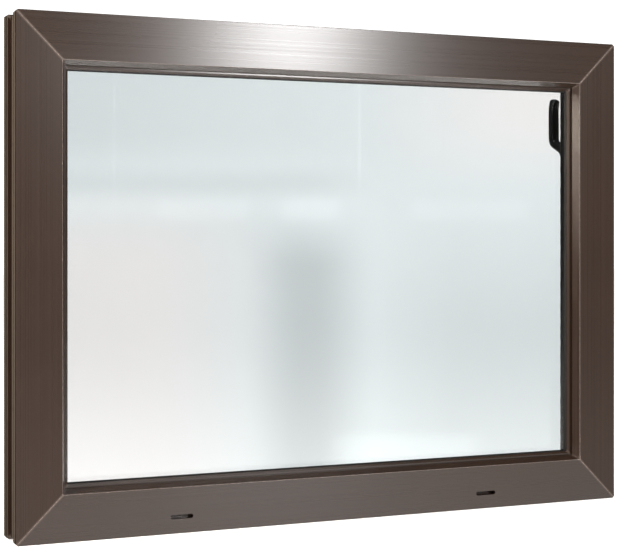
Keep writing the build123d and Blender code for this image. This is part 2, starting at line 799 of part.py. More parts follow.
def stay_arm(side):
    """Flat arm from the frame's pivot to a slot round the sash's stud."""
    _, arm_from, arm_to, _ = stay_levels()
    rise = STAY_STUD_HEIGHT - STAY_PIVOT_HEIGHT
    lean = STAY_STUD_DEPTH - STAY_PIVOT_DEPTH
    length = sqrt(rise**2 + lean**2)
    end_margin = STAY_WIDTH / 2 + 1
    slot_radius = STAY_STUD_RADIUS + STAY_SLOT_PLAY
    slot_from = length - STAY_SLOT_PLAY
    slot_to = length + STAY_SLOT_RUN
    total = slot_to + slot_radius + end_margin
    blank = Pos((total - end_margin) / 2, 0) * SlotOverall(total + end_margin, STAY_WIDTH)
    blank = blank - Circle(STAY_STUD_RADIUS + RUNNING_FIT)
    slot = Pos((slot_from + slot_to) / 2, 0) * SlotOverall(slot_to - slot_from + 2 * slot_radius, 2 * slot_radius)
    flat = extrude(blank - slot, amount=STAY_THICKNESS)
    t = along(side, STAY_PIVOT_HEIGHT)
    up = along(side, STAY_PIVOT_HEIGHT + 1) - t
    direction = Vector(up * rise, lean, 0)
    plane = Plane(origin=(t, STAY_PIVOT_DEPTH, arm_from), x_dir=direction, z_dir=(0, 0, 1))
    return on_side(plane * flat, side)


# ---- espagnolette -----------------------------------------------------------


def faceplate_section():
    """Section of the plate that closes the hardware groove."""
    shoulder_from, shoulder_to, _, _ = groove_edges()
    return rectangle(shoulder_from + FACEPLATE_PLAY, shoulder_to - FACEPLATE_PLAY, SASH_EDGE, FACEPLATE_BACK)


def cam_slot(place):
    """Opening in a faceplate along a cam's travel, drawn on the sill."""
    radius = CAM_STEM_RADIUS + CAM_PLAY
    length = ROD_TRAVEL + 2 * radius + 2 * CAM_PLAY
    slot = extrude(SlotOverall(length, 2 * radius), amount=FACEPLATE_THICKNESS + 2)
    return Pos(place + ROD_TRAVEL / 2, GROOVE_AXIS, SASH_EDGE - 1) * slot


def corner_span():
    """Where the corner drive's legs end: inset along the jamb and along the head."""
    return SASH_EDGE + CORNER_LEG


def faceplate_side():
    """Faceplate in the right stile, from below the gearbox to the corner drive."""
    start = along("right", FACEPLATE_SIDE_FROM)
    end = along("right", HEIGHT - corner_span() - 0.3)
    plate = bar(faceplate_section(), start, end)
    for at, place in faceplate_screw_places():
        if at == "right":
            plate = plate - place * Rot(180, 0, 0) * screw_room()
    return on_side(plate, "right")


def faceplate_top():
    """Faceplate in the sash's head, from the corner drive to past the far cam."""
    start = along("head", WIDTH / 2 - corner_span() - 0.3)
    end = along("head", min(CAM_TOP_PLACES)) + ROD_TRAVEL + 32
    plate = bar(faceplate_section(), start, end)
    for x in CAM_TOP_PLACES:
        plate = plate - cam_slot(along("head", x))
    for at, place in faceplate_screw_places():
        if at == "head":
            plate = plate - place * Rot(180, 0, 0) * screw_room()
    return on_side(plate, "head")


def corner_housing():
    """Angled plate of the corner drive, with one leg in the stile and one in the head."""
    face = faceplate_section()
    reach = corner_span()
    stile = mitred(face, "right", SASH_EDGE, CORNER_CUT) & box(along("right", HEIGHT - reach), FAR, 0, FAR, 0, FAR)
    head = mitred(face, "head", SASH_EDGE, CORNER_CUT) & box(-FAR, along("head", WIDTH / 2 - reach), 0, FAR, 0, FAR)
    stile = stile - cam_slot(along("right", CAM_SIDE_HEIGHT))
    return on_side(stile, "right") + on_side(head, "head")


def band_centre():
    """X and Z of the centre that the corner drive's band bends round."""
    inset = ROD_FRONT + BAND_RADIUS
    return WIDTH / 2 - inset, HEIGHT - inset


def corner_band():
    """Spring steel band, bent a quarter turn inside the corner."""
    x, z = band_centre()
    outer = rod_y(x, GROOVE_AXIS - ROD_WIDTH / 2, GROOVE_AXIS + ROD_WIDTH / 2, z, BAND_RADIUS)
    inner = rod_y(x, 0, FAR, z, BAND_RADIUS - ROD_THICKNESS)
    return (outer - inner) & box(x, x + FAR, 0, FAR, z, z + FAR)


def rod_section():
    """Section of the flat drive rods."""
    return rectangle(GROOVE_AXIS - ROD_WIDTH / 2, GROOVE_AXIS + ROD_WIDTH / 2, ROD_FRONT, ROD_BACK)


def rack_tooth(middle):
    """One straight-sided rack tooth as (along, inset) points, widest at the rod."""
    pitch_line = HANDLE_INSET - PITCH_RADIUS
    half = pi * TOOTH_MODULE / 4 - BACKLASH / 2
    lean = tan(radians(20))
    low = ROD_BACK - 0.1
    high = RACK_TIP
    wide = half + (pitch_line - low) * lean
    narrow = half - (high - pitch_line) * lean
    return [(middle - wide, low), (middle + wide, low), (middle + narrow, high), (middle - narrow, high)]


def drive_rod_side():
    """Drive rod in the right stile, with the rack that the pinion moves."""
    _, corner_z = band_centre()
    start = along("right", HANDLE_HEIGHT - ROD_TRAVEL - 12)
    end = along("right", corner_z - ROD_TRAVEL - ROD_PLAY)
    rod = bar(rod_section(), start, end)
    pitch = pi * TOOTH_MODULE
    centre = along("right", HANDLE_HEIGHT)
    for n in range(-6, 3):
        tooth = make_face(Polyline(*rack_tooth(centre + (n + 0.5) * pitch), close=True))
        solid = extrude(Plane.XZ * tooth, amount=ROD_WIDTH / 2, both=True)
        rod = rod + Pos(0, GROOVE_AXIS, 0) * solid
    return on_side(rod, "right")


def drive_rod_top():
    """Drive rod in the sash's head, from the corner drive to the far cam."""
    corner_x, _ = band_centre()
    start = along("head", corner_x - ROD_PLAY)
    end = along("head", min(CAM_TOP_PLACES)) + 14
    return on_side(bar(rod_section(), start, end), "head")


def cam(place):
    """Stem riveted on the rod with a roller outside the faceplate, drawn on the sill."""
    roller_from = REBATE_BASE + STRIKER_PLATE + CAM_PLAY
    stem = rod_z(place, GROOVE_AXIS, roller_from, ROD_FRONT, CAM_STEM_RADIUS)
    return stem + rod_z(place, GROOVE_AXIS, roller_from, SASH_EDGE - CAM_PLAY, CAM_RADIUS)


def striker(side, place):
    """Plate on the frame with a lip that the cam slides behind."""
    start, end = striker_span(place)
    top = REBATE_BASE + STRIKER_PLATE
    half = GROOVE_SHOULDER / 2
    plate = box(start, end, GROOVE_AXIS - half, GROOVE_AXIS + half, REBATE_BASE, top)
    lip_depth = GROOVE_AXIS + CAM_RADIUS + CAM_PLAY
    lip_end = place + ROD_TRAVEL + CAM_RADIUS + 3
    lip = box(
        place + CAM_RADIUS + CAM_PLAY, lip_end, lip_depth, lip_depth + STRIKER_LIP, REBATE_BASE, top + STRIKER_LIP_REACH
    )
    shape = plate + lip
    for at, spot in striker_screw_places():
        if at == side:
            shape = shape - spot * screw_room()
    return on_side(shape, side)


def gear_outline():
    """Pinion tooth outline: involute flanks between root and tip circles."""
    pressure = radians(20)
    base = PITCH_RADIUS * cos(pressure)
    tip = TIP_RADIUS
    root = PITCH_RADIUS - DEDENDUM * TOOTH_MODULE

    def involute(radius):
        """Polar angle of the involute where it has this radius."""
        roll = sqrt(max((radius / base) ** 2 - 1, 0))
        return roll - atan(roll)

    half = (pi / 2 - BACKLASH / TOOTH_MODULE / 2) / TEETH + involute(PITCH_RADIUS)
    steps = 4
    flank = [base + (tip - base) * n / steps for n in range(steps + 1)]
    points = []
    for tooth in range(TEETH):
        middle = 2 * pi * tooth / TEETH
        rising = [(root, middle - half)] + [(r, middle - half + involute(r)) for r in flank]
        falling = [(r, middle + half - involute(r)) for r in reversed(flank)] + [(root, middle + half)]
        points += [(r * cos(a), r * sin(a)) for r, a in rising + falling]
    return make_face(Polyline(*points, close=True))


def gearbox_pinion():
    """Pinion with a hub each side that turns in the case, and a square bore."""
    half_width = ROD_WIDTH / 2 + 0.3
    case_half = GROOVE_WIDTH / 2 - CASE_PLAY
    wheel = extrude(Plane.XZ * gear_outline(), amount=half_width, both=True)
    hub = rod_y(0, -case_half, case_half, 0, HUB_RADIUS)
    side = SPINDLE / 2 + RUNNING_FIT
    bore = box(-side, side, -FAR, FAR, -side, side)
    return Pos(HANDLE_X, GROOVE_AXIS, HANDLE_HEIGHT) * (wheel + hub - bore)


def handle_screw_places():
    """Along Y, heads at the face of the rosette's base."""
    y = SASH_BACK + ROSETTE_BASE_THICKNESS
    return [
        Pos(HANDLE_X, y, HANDLE_HEIGHT + dz) * Rot(-90, 0, 0)
        for dz in (-HANDLE_SCREW_SPACING / 2, HANDLE_SCREW_SPACING / 2)
    ]


def handle_screw_length():
    """Long enough to end inside the gearbox."""
    return SASH_BACK + ROSETTE_BASE_THICKNESS - GROOVE_AXIS + 3


def gearbox_case():
    """Case let into the stile, open towards the rod."""
    half = GROOVE_WIDTH / 2 - CASE_PLAY
    right = WIDTH / 2
    outer_inset = FACEPLATE_BACK
    inner_inset = GLASS_FLOOR - POCKET_WALL - CASE_PLAY
    low = HANDLE_HEIGHT - CASE_HALF_LENGTH
    high = HANDLE_HEIGHT + CASE_HALF_LENGTH
    block = box(right - inner_inset, right - outer_inset, GROOVE_AXIS - half, GROOVE_AXIS + half, low, high)
    rod_half = ROD_WIDTH / 2 + ROD_PLAY
    channel = box(
        right - RACK_TIP - CASE_PLAY,
        right - outer_inset + 1,
        GROOVE_AXIS - rod_half,
        GROOVE_AXIS + rod_half,
        low - 1,
        high + 1,
    )
    gear_room = rod_y(
        HANDLE_X, GROOVE_AXIS - rod_half, GROOVE_AXIS + rod_half, HANDLE_HEIGHT, TIP_RADIUS + CASE_PLAY
    )
    mouth = box(
        HANDLE_X,
        right - outer_inset + 1,
        GROOVE_AXIS - rod_half,
        GROOVE_AXIS + rod_half,
        HANDLE_HEIGHT - PITCH_RADIUS - 1,
        HANDLE_HEIGHT + PITCH_RADIUS + 1,
    )
    bearing = rod_y(HANDLE_X, 0, FAR, HANDLE_HEIGHT, HUB_RADIUS + RUNNING_FIT)
    case = block - channel - gear_room - mouth - bearing
    return case - [place * screw_room(handle_screw_length()) for place in handle_screw_places()]


# ---- handle -----------------------------------------------------------------


def upright_slot(width, height, y0, y1):
    """Plate with round ends on the sash's room face, between two depths."""
    plate = extrude(Plane.XZ * Rot(0, 0, 90) * SlotOverall(height, width), amount=y0 - y1)
    return Pos(HANDLE_X, y0, HANDLE_HEIGHT) * plate


def rosette_base():
    """Plate screwed to the sash, which carries the lever's collar."""
    play = ROSETTE_SHELL + 0.2
    base = upright_slot(
        ROSETTE_WIDTH - 2 * play, ROSETTE_HEIGHT - 2 * play, SASH_BACK, SASH_BACK + ROSETTE_BASE_THICKNESS
    )
    base = base - rod_y(HANDLE_X, 0, FAR, HANDLE_HEIGHT, COLLAR_RADIUS + RUNNING_FIT)
    return base - [place * screw_room(handle_screw_length()) for place in handle_screw_places()]


def rosette_cover():
    """Cover snapped over the base, hiding its screws."""
    front = SASH_BACK + ROSETTE_THICKNESS
    cover = upright_slot(ROSETTE_WIDTH, ROSETTE_HEIGHT, SASH_BACK, front)
    rim = cover.faces().sort_by(Axis.Y)[-1].edges()
    cover = fillet(rim, 1.2)
    cover = cover - upright_slot(
        ROSETTE_WIDTH - 2 * ROSETTE_SHELL, ROSETTE_HEIGHT - 2 * ROSETTE_SHELL, SASH_BACK, front - ROSETTE_SHELL
    )
    return cover - rod_y(HANDLE_X, 0, FAR, HANDLE_HEIGHT, COLLAR_RADIUS + RUNNING_FIT)


def lever_path():
    """Centre line of the lever: cranked neck, straight grip, slightly hooked tip."""
    y = SASH_BACK
    z = HANDLE_HEIGHT
    points = [
        (HANDLE_X, y + LEVER_ROOT, z),
        (HANDLE_X, y + NECK_STANDOFF, z + NECK_RISE),
        (HANDLE_X, y + GRIP_STANDOFF, z + GRIP_FROM),
        (HANDLE_X, y + GRIP_STANDOFF + 0.4, z + GRIP_TO - TIP_HOOK_HEIGHT),
        (HANDLE_X, y + GRIP_STANDOFF - TIP_HOOK, z + GRIP_TO),
    ]
    return FilletPolyline(*points, radius=[7, 9, 14])


def handle_lever():
    """Cranked lever with its hub, collar and square socket."""
    path = lever_path()
    start = Plane(origin=path @ 0, x_dir=(1, 0, 0), z_dir=path % 0)
    lever = sweep(start * RectangleRounded(LEVER_WIDTH, LEVER_THICKNESS, LEVER_ROUND), path)
    tip = lever.faces().sort_by(Axis.Z)[-1]
    lever = fillet(tip.edges(), 2.6)
    hub_from = SASH_BACK + ROSETTE_THICKNESS + 0.4
    hub_to = hub_from + LEVER_HUB_LENGTH
    hub = rod_y(HANDLE_X, hub_from, hub_to, HANDLE_HEIGHT, LEVER_HUB_RADIUS)
    hub = fillet(hub.faces().sort_by(Axis.Y)[-1].edges(), 2.0)
    collar = rod_y(HANDLE_X, SASH_BACK + 0.4, hub_from + 1, HANDLE_HEIGHT, COLLAR_RADIUS)
    side = SPINDLE / 2 + RUNNING_FIT
    socket = box(
        HANDLE_X - side, HANDLE_X + side, SASH_BACK, hub_to - 2 + RUNNING_FIT, HANDLE_HEIGHT - side, HANDLE_HEIGHT + side
    )
    return lever + hub + collar - socket


def handle_spindle():
    """Square spindle from the pinion to the lever."""
    half = SPINDLE / 2
    end = SASH_BACK + ROSETTE_THICKNESS + 0.4 + LEVER_HUB_LENGTH - 2
    start = GROOVE_AXIS - GROOVE_WIDTH / 2 + CASE_PLAY
    return box(HANDLE_X - half, HANDLE_X + half, start, end, HANDLE_HEIGHT - half, HANDLE_HEIGHT + half)


# ---- write every sub-part ---------------------------------------------------


def build_frame():
    """Outer frame with what is fixed to it."""
    save("frame_head", frame_member("head"))
    save("frame_sill", frame_member("sill"))
    save("frame_left_jamb", frame_member("left"))
    save("frame_right_jamb", frame_member("right"))
    save("frame_gasket", group(frame_gasket()))
    for name, x in hinge_places().items():
        save(f"hinge_frame_leaf_{name}", hinge_frame_leaf(x))
        save(f"hinge_pin_{name}", hinge_pin(x))
    save("hinge_frame_screws", group([place * screw() for place in frame_hinge_screw_places()]))
    for name, (side, place) in zip(("side", "top_right", "top_left"), cam_places()):
        save(f"striker_{name}", striker(side, place))
    save("striker_screws", group([on_side(place * screw(), side) for side, place in striker_screw_places()]))
    for side in ("left", "right"):
        save(f"stay_pivot_{side}", stay_pivot(side))
    save("stay_screws", group([on_side(place * screw(), side) for side, place in stay_screw_places()]))


def build_sash():
    """Glazed sash with what is fixed to it."""
    names = {"head": "head", "sill": "bottom_rail", "left": "left_stile", "right": "right_stile"}
    for side, name in names.items():
        save(f"sash_{name}", sash_member(side))
        save(f"steel_{name}", sash_steel(side))
        save(f"glazing_bead_{name}", bead(side))
    save("glass_outer_pane", pane(GLASS_FRONT))
    save("glass_inner_pane", pane(CAVITY_BACK))
    save("glass_spacer", group(spacer()))
    save("glass_edge_seal", group(edge_seal()))
    save("glazing_gasket_outer", group(outer_glazing_gasket()))
    save("glazing_gasket_inner", group(inner_glazing_gasket()))
    save("glazing_blocks", group(glazing_blocks()))
    for name, x in hinge_places().items():
        save(f"hinge_sash_leaf_{name}", hinge_sash_leaf(x))
    save("hinge_sash_screws", group([place * screw() for place in sash_hinge_screw_places()]))
    for side in ("left", "right"):
        save(f"stay_stud_{side}", on_side(stay_stud(side), side))


def build_lock():
    """Espagnolette in the sash's groove, and its handle."""
    save("faceplate_side", faceplate_side())
    save("faceplate_top", faceplate_top())
    save("corner_drive_housing", corner_housing())
    save("corner_drive_band", corner_band())
    save(
        "faceplate_screws",
        group([on_side(place * faceplate_screw(), side) for side, place in faceplate_screw_places()]),
    )
    save("gearbox_case", gearbox_case())
    save("gearbox_pinion", gearbox_pinion())
    save("drive_rod_side", drive_rod_side())
    save("drive_rod_top", drive_rod_top())
    side_cam, *top_cams = [on_side(cam(place), side) for side, place in cam_places()]
    save("cam_side", side_cam)
    save("cams_top", group(top_cams))
    for side in ("left", "right"):
        save(f"stay_arm_{side}", stay_arm(side))
    save("rosette_base", rosette_base())
    save("rosette_cover", rosette_cover())
    save("handle_screws", group([place * screw(handle_screw_length()) for place in handle_screw_places()]))
    save("handle_lever", handle_lever())
    save("handle_spindle", handle_spindle())


os.makedirs("parts", exist_ok=True)
build_frame()
build_sash()
build_lock()
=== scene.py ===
"""Looks of a bottom-hung plastic window: finishes, weld seams, seals, handle and studio.

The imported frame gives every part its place. Lengths are in metres. X runs across the
window, Y runs from the outside face into the room, and Z runs up from the sill. An
inset is measured inwards from the window's outer edge, in the plane of the window.
"""

import logging
import math
from dataclasses import dataclass, field
from enum import Enum
from typing import Any, Dict, List, Optional, Sequence, Tuple

import bpy
import numpy as np
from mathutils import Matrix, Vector


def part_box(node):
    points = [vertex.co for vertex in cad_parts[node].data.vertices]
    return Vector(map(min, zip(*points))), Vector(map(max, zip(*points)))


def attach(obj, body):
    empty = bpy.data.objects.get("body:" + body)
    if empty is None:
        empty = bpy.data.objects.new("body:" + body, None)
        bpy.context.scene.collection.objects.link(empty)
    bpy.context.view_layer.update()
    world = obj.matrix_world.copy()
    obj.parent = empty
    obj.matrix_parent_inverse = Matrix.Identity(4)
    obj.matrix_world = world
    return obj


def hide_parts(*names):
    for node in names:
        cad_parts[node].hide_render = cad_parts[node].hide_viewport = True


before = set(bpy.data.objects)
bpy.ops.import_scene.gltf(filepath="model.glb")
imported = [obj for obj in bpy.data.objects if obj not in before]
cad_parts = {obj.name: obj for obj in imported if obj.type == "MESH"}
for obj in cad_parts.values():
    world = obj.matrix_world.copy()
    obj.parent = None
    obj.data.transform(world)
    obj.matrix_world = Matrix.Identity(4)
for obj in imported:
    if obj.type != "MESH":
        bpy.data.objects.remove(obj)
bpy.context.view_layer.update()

log = logging.getLogger("window")

MM = 0.001
Colour = Tuple[float, float, float]
Point = Tuple[float, float, float]
Socket = bpy.types.NodeSocket
Span = Tuple[float, float]


class Body(Enum):
    """Bodies of the window that new pieces ride on."""

    FRAME = "frame"
    SASH = "sash"
    HANDLE = "handle"


class Slot(Enum):
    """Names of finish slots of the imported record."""

    PLASTIC = "pvc_brown"
    SEALANT = "sealant"
    HANDLE = "handle_black"


class Grain(Enum):
    """Direction that an extruded length runs in."""

    ACROSS = "across"
    UPRIGHT = "upright"


# ---- mesh helpers -------------------------------------------------------------------


def grid_object(
    name: str, points: np.ndarray, ring: bool = False, ends: bool = True
) -> bpy.types.Object:
    """Make a smooth mesh from a grid of points.

    Point (i, j) joins (i + 1, j), (i + 1, j + 1) and (i, j + 1) in one face. The j
    direction always closes on itself. The i direction closes on itself for a ring,
    and otherwise each end is shut by one face.

    Args:
        name: Name of the new object.
        points: Array of shape (rows, columns, 3).
        ring: True where the last row joins the first.
        ends: True where the first and last rows are shut by a face.

    Returns:
        The new object, linked to the scene.
    """
    rows, columns = points.shape[:2]
    index = np.arange(rows * columns).reshape(rows, columns)
    following = np.roll(index, -1, axis=0) if ring else index[1:]
    current = index if ring else index[:-1]
    quads = np.stack(
        [current, following, np.roll(following, -1, axis=1), np.roll(current, -1, axis=1)], axis=-1
    ).reshape(-1, 4)
    faces: List[Sequence[int]] = quads.tolist()
    if not ring and ends:
        faces += [index[0].tolist(), index[-1][::-1].tolist()]
    mesh = bpy.data.meshes.new(name)
    mesh.from_pydata(points.reshape(-1, 3).tolist(), [], faces)
    made = bpy.data.objects.new(name, mesh)
    bpy.context.scene.collection.objects.link(made)
    face_outwards(made)
    mesh.polygons.foreach_set("use_smooth", np.ones(len(mesh.polygons), bool))
    return made


def face_outwards(made: bpy.types.Object) -> None:
    """Turn every face of a closed mesh outwards, after merging points that coincide."""
    import bmesh

    work = bmesh.new()
    work.from_mesh(made.data)
    bmesh.ops.remove_doubles(work, verts=work.verts, dist=1e-7)
    bmesh.ops.recalc_face_normals(work, faces=work.faces)
    work.to_mesh(made.data)
    work.free()
    made.data.update()


def joined(name: str, parts: List[bpy.types.Object]) -> bpy.types.Object:
    """Join several new objects into one.

    Args:
        name: Name of the joined object.
        parts: Objects with their places in their meshes.

    Returns:
        The joined object.
    """
    meshes = [part.data for part in parts]
    counts = [len(mesh.vertices) for mesh in meshes]
    places = [np.zeros(3 * count, np.float32) for count in counts]
    for mesh, place in zip(meshes, places):
        mesh.vertices.foreach_get("co", place)
    starts = np.concatenate([[0], np.cumsum(counts)[:-1]])
    faces = [
        [int(start) + v for v in polygon.vertices]
        for mesh, start in zip(meshes, starts)
        for polygon in mesh.polygons
    ]
    whole = bpy.data.meshes.new(name)
    whole.from_pydata(np.concatenate(places).reshape(-1, 3).tolist(), [], faces)
    whole.polygons.foreach_set("use_smooth", np.ones(len(whole.polygons), bool))
    for part in parts:
        bpy.data.objects.remove(part)
    made = bpy.data.objects.new(name, whole)
    bpy.context.scene.collection.objects.link(made)
    return made


def carried(path: np.ndarray, across: np.ndarray, up: np.ndarray, profile: np.ndarray) -> np.ndarray:
    """Carry a profile along a path.

    Each point is the path's point, plus the profile's first number times the across
    direction, plus its second number times the up direction.

    Args:
        path: Points of the path, shape (rows, 3).
        across: Unit vectors, shape (rows, 3).
        up: Unit vectors, shape (rows, 3).
        profile: Shape (rows, columns, 2).

    Returns:
        The grid of points, shape (rows, columns, 3).
    """
    return (
        path[:, None, :]
        + profile[..., 0:1] * across[:, None, :]
        + profile[..., 1:2] * up[:, None, :]
    )


def lathed(profile: np.ndarray, columns: int) -> np.ndarray:
    """Turn a profile about the Y axis.

    A point is (radius times cosine, along, radius times sine) of its angle.

    Args:
        profile: Points (along, radius), shape (rows, 2).
        columns: How many angles a turn has.

    Returns:
        The grid of points, shape (rows, columns, 3).
    """
    angle = np.linspace(0.0, 2 * np.pi, columns, endpoint=False)
    along = np.repeat(profile[:, 0:1], columns, axis=1)
    radius = profile[:, 1:2]
    return np.stack([radius * np.cos(angle), along, radius * np.sin(angle)], axis=-1)


# ---- node helpers -------------------------------------------------------------------


class Graph:
    """A node tree that is filled by short calls."""

    def __init__(self, tree: bpy.types.NodeTree) -> None:
        """Empty the tree.

        Args:
            tree: The node tree of a material or of the world.
        """
        self.tree = tree
        self.tree.nodes.clear()

    def add(self, kind: str, inputs: Optional[Dict[Any, Any]] = None, **settings: Any) -> bpy.types.Node:
        """Add a node.

        Args:
            kind: Blender's name of the node, without its ShaderNode start.
            inputs: A value or a socket for each input, by name or number.
            settings: Values of the node's own properties.

        Returns:
            The node.
        """
        node = self.tree.nodes.new("ShaderNode" + kind)
        for key, value in settings.items():
            setattr(node, key, value)
        for key, value in (inputs or {}).items():
            if isinstance(value, bpy.types.NodeSocket):
                self.tree.links.new(value, node.inputs[key])
            else:
                node.inputs[key].default_value = value
        return node

    def maths(self, operation: str, first: Any, second: Any = 0.0, clamp: bool = False) -> Socket:
        """Result of a Math node on one or two numbers."""
        node = self.add("Math", {0: first, 1: second}, operation=operation, use_clamp=clamp)
        return node.outputs[0]

    def ramp(
        self, value: Socket, low: float, high: float, start: float = 0.0, end: float = 1.0
    ) -> Socket:
        """Smooth step of a value from start at low to end at high."""
        node = self.add(
            "MapRange",
            {"Value": value, "From Min": low, "From Max": high, "To Min": start, "To Max": end},
            interpolation_type="SMOOTHSTEP",
        )
        return node.outputs["Result"]

    def blend(self, share: Any, first: Any, second: Any) -> Socket:
        """Mix of two colours."""
        node = self.add("Mix", {0: share, 6: first, 7: second}, data_type="RGBA")
        return node.outputs[2]

    def place(self, scale: Point) -> Socket:
        """Object coordinates, stretched along each axis."""
        where = self.add("TexCoord").outputs["Object"]
        return self.add("Mapping", {"Vector": where, "Scale": scale}).outputs["Vector"]

    def noise(self, scale: Point, detail: float = 3.0, roughness: float = 0.55) -> Socket:
        """Noise from 0 to 1 on stretched object coordinates."""
        node = self.add(
            "TexNoise",
            {"Vector": self.place(scale), "Scale": 1.0, "Detail": detail, "Roughness": roughness},
        )
        return node.outputs["Fac"]

    def bump(self, height: Socket, strength: float, distance: float) -> Socket:
        """Normal from a height."""
        node = self.add("Bump", {"Height": height, "Strength": strength, "Distance": distance})
        return node.outputs["Normal"]


def rgba(colour: Colour, gain: float = 1.0) -> Tuple[float, float, float, float]:
    """A colour with full alpha, made lighter or darker by a gain."""
    return (colour[0] * gain, colour[1] * gain, colour[2] * gain, 1.0)


# ---- finishes -----------------------------------------------------------------------


@dataclass(frozen=True)
class Finish:
    """A finish, which makes one material."""

    name: str

    def start(self) -> Tuple[bpy.types.Material, Graph]:
        """An empty material and its graph."""
        made = bpy.data.materials.new(self.name)
        made.use_nodes = True
        return made, Graph(made.node_tree)

    def close(self, graph: Graph, inputs: Dict[Any, Any]) -> None:
        """Add the shader and the output."""
        shader = graph.add("BsdfPrincipled", inputs)
        graph.add("OutputMaterial", {"Surface": shader.outputs[0]})


@dataclass(frozen=True)
class ExtrudedPlastic(Finish):
    """Semi-gloss brown plastic with die lines along its length, scraped welds, painted sheen along the die
    lines and painted shade on the outer sides.
    """

    grain: Grain = Grain.ACROSS
    colour: Colour = (0.0215, 0.0118, 0.0076)
    roughness: float = 0.28
    smear: float = 0.72
    painted_streak_sheen: float = 0.02
    gloss: float = 0.5
    width: float = 0.8
    height: float = 0.6
    rib_highlight_pitch: float = 12.5 * MM

    def scraped(self, graph: Graph) -> Socket:
        """Share of scraping: 1 on the mitres, 0 a little away from them.

        The distance from a mitre is the difference between how far a point lies from
        the nearer upright edge and from the nearer level edge, over the root of two.
        """
        where = graph.add("SeparateXYZ", {0: graph.add("TexCoord").outputs["Object"]})
        side = graph.maths("SUBTRACT", self.width / 2, graph.maths("ABSOLUTE", where.outputs[0]))
        below_head = graph.maths("SUBTRACT", self.height, where.outputs[2])
        level = graph.maths("MINIMUM", where.outputs[2], below_head)
        apart = graph.maths("ABSOLUTE", graph.maths("SUBTRACT", side, level))
        return graph.ramp(apart, 0.9 * MM, 3.4 * MM, 1.0, 0.0)

    def painted_side_shade_and_rib_highlights(self, graph: Graph) -> Tuple[Socket, Socket]:
        """Masks of the painted shade on the window's outer sides and of the painted highlights on ribs along
        them.

        A rib runs along the side at each pitch of the depth. The mask of the sides is
        1 within twelve millimetres of the window's left and right edges, on faces that
        look sideways.
        """
        where = graph.add("SeparateXYZ", {0: graph.add("TexCoord").outputs["Object"]}).outputs
        facing = graph.add("SeparateXYZ", {0: graph.add("NewGeometry").outputs["Normal"]}).outputs
        near = graph.maths("GREATER_THAN", graph.maths("ABSOLUTE", where[0]), self.width / 2 - 12 * MM)
        sideways = graph.maths("GREATER_THAN", graph.maths("ABSOLUTE", facing[0]), 0.6)
        side = graph.maths("MULTIPLY", near, sideways)
        turn = graph.maths("FRACT", graph.maths("DIVIDE", where[1], self.rib_highlight_pitch))
        from_middle = graph.maths("ABSOLUTE", graph.maths("SUBTRACT", turn, 0.5))
        rib_highlight = graph.ramp(from_middle, 0.16, 0.28, 1.0, 0.0)
        return side, graph.maths("MULTIPLY", side, rib_highlight)

    def make(self) -> bpy.types.Material:
        """Build the material."""
        made, graph = self.start()
        fine, slow = 1100.0, 1.1
        lines = (slow, fine, fine) if self.grain is Grain.ACROSS else (fine, fine, slow)
        wide = tuple(0.22 * n if n > 100 else 0.8 for n in lines)
        streak = graph.noise(lines, 4.0, 0.62)
        die_band_and_sheen = graph.noise(wide, 2.0, 0.5)
        cloud = graph.noise((7.0, 7.0, 7.0), 3.0)
        speck = graph.noise((2600.0, 2600.0, 2600.0), 2.0)
        scraped = self.scraped(graph)
        tone = graph.blend(
            graph.ramp(cloud, 0.3, 0.7), rgba(self.colour, 0.93), rgba(self.colour, 1.06)
        )
        # painted sheen: lighter bands in the colour along the die lines stand in for the sheen that the die
        # lines catch
        tone = graph.blend(graph.ramp(die_band_and_sheen, 0.5, 0.68, 0.0, self.painted_streak_sheen), tone, rgba(self.colour, 2.4))
        tone = graph.blend(graph.maths("MULTIPLY", scraped, 0.22), tone, rgba((0.16, 0.12, 0.1)))
        rough = graph.ramp(streak, 0.3, 0.7, self.roughness - 0.01, self.roughness + 0.015)
        rough = graph.maths("ADD", rough, graph.ramp(die_band_and_sheen, 0.3, 0.7, -0.01, 0.01))
        rough = graph.maths("ADD", rough, graph.maths("MULTIPLY", scraped, 0.1))
        side, rib_highlight = self.painted_side_shade_and_rib_highlights(graph)
        # painted shade: the outer sides are darkened almost to black, and the pale lines along them are
        # painted highlights on ribs
        tone = graph.blend(graph.maths("MULTIPLY", side, 0.9), tone, rgba((0.006, 0.0045, 0.0035)))
        tone = graph.blend(graph.maths("MULTIPLY", rib_highlight, 0.8), tone, rgba((0.062, 0.05, 0.039)))
        rough = graph.maths("ADD", rough, graph.maths("MULTIPLY", side, 0.7))
        gloss = graph.maths("SUBTRACT", self.gloss, graph.maths("MULTIPLY", side, 0.2))
        fine_lines = graph.maths("MULTIPLY", streak, 0.2)
        height = graph.maths("ADD", fine_lines, graph.maths("MULTIPLY", die_band_and_sheen, 0.5))
        height = graph.maths("ADD", height, graph.maths("MULTIPLY", speck, 0.06))
        upright, across = float(self.grain is Grain.UPRIGHT), float(self.grain is Grain.ACROSS)
        along = graph.add("CombineXYZ", {0: upright, 1: 0.6, 2: across})
        self.close(
            graph,
            {
                "Base Color": tone,
                "Roughness": rough,
                "IOR": 1.5,
                "Specular IOR Level": gloss,
                "Anisotropic": self.smear,
                "Tangent": along.outputs[0],
                "Normal": graph.bump(height, 0.022, 0.05 * MM),
            },
        )
        return made


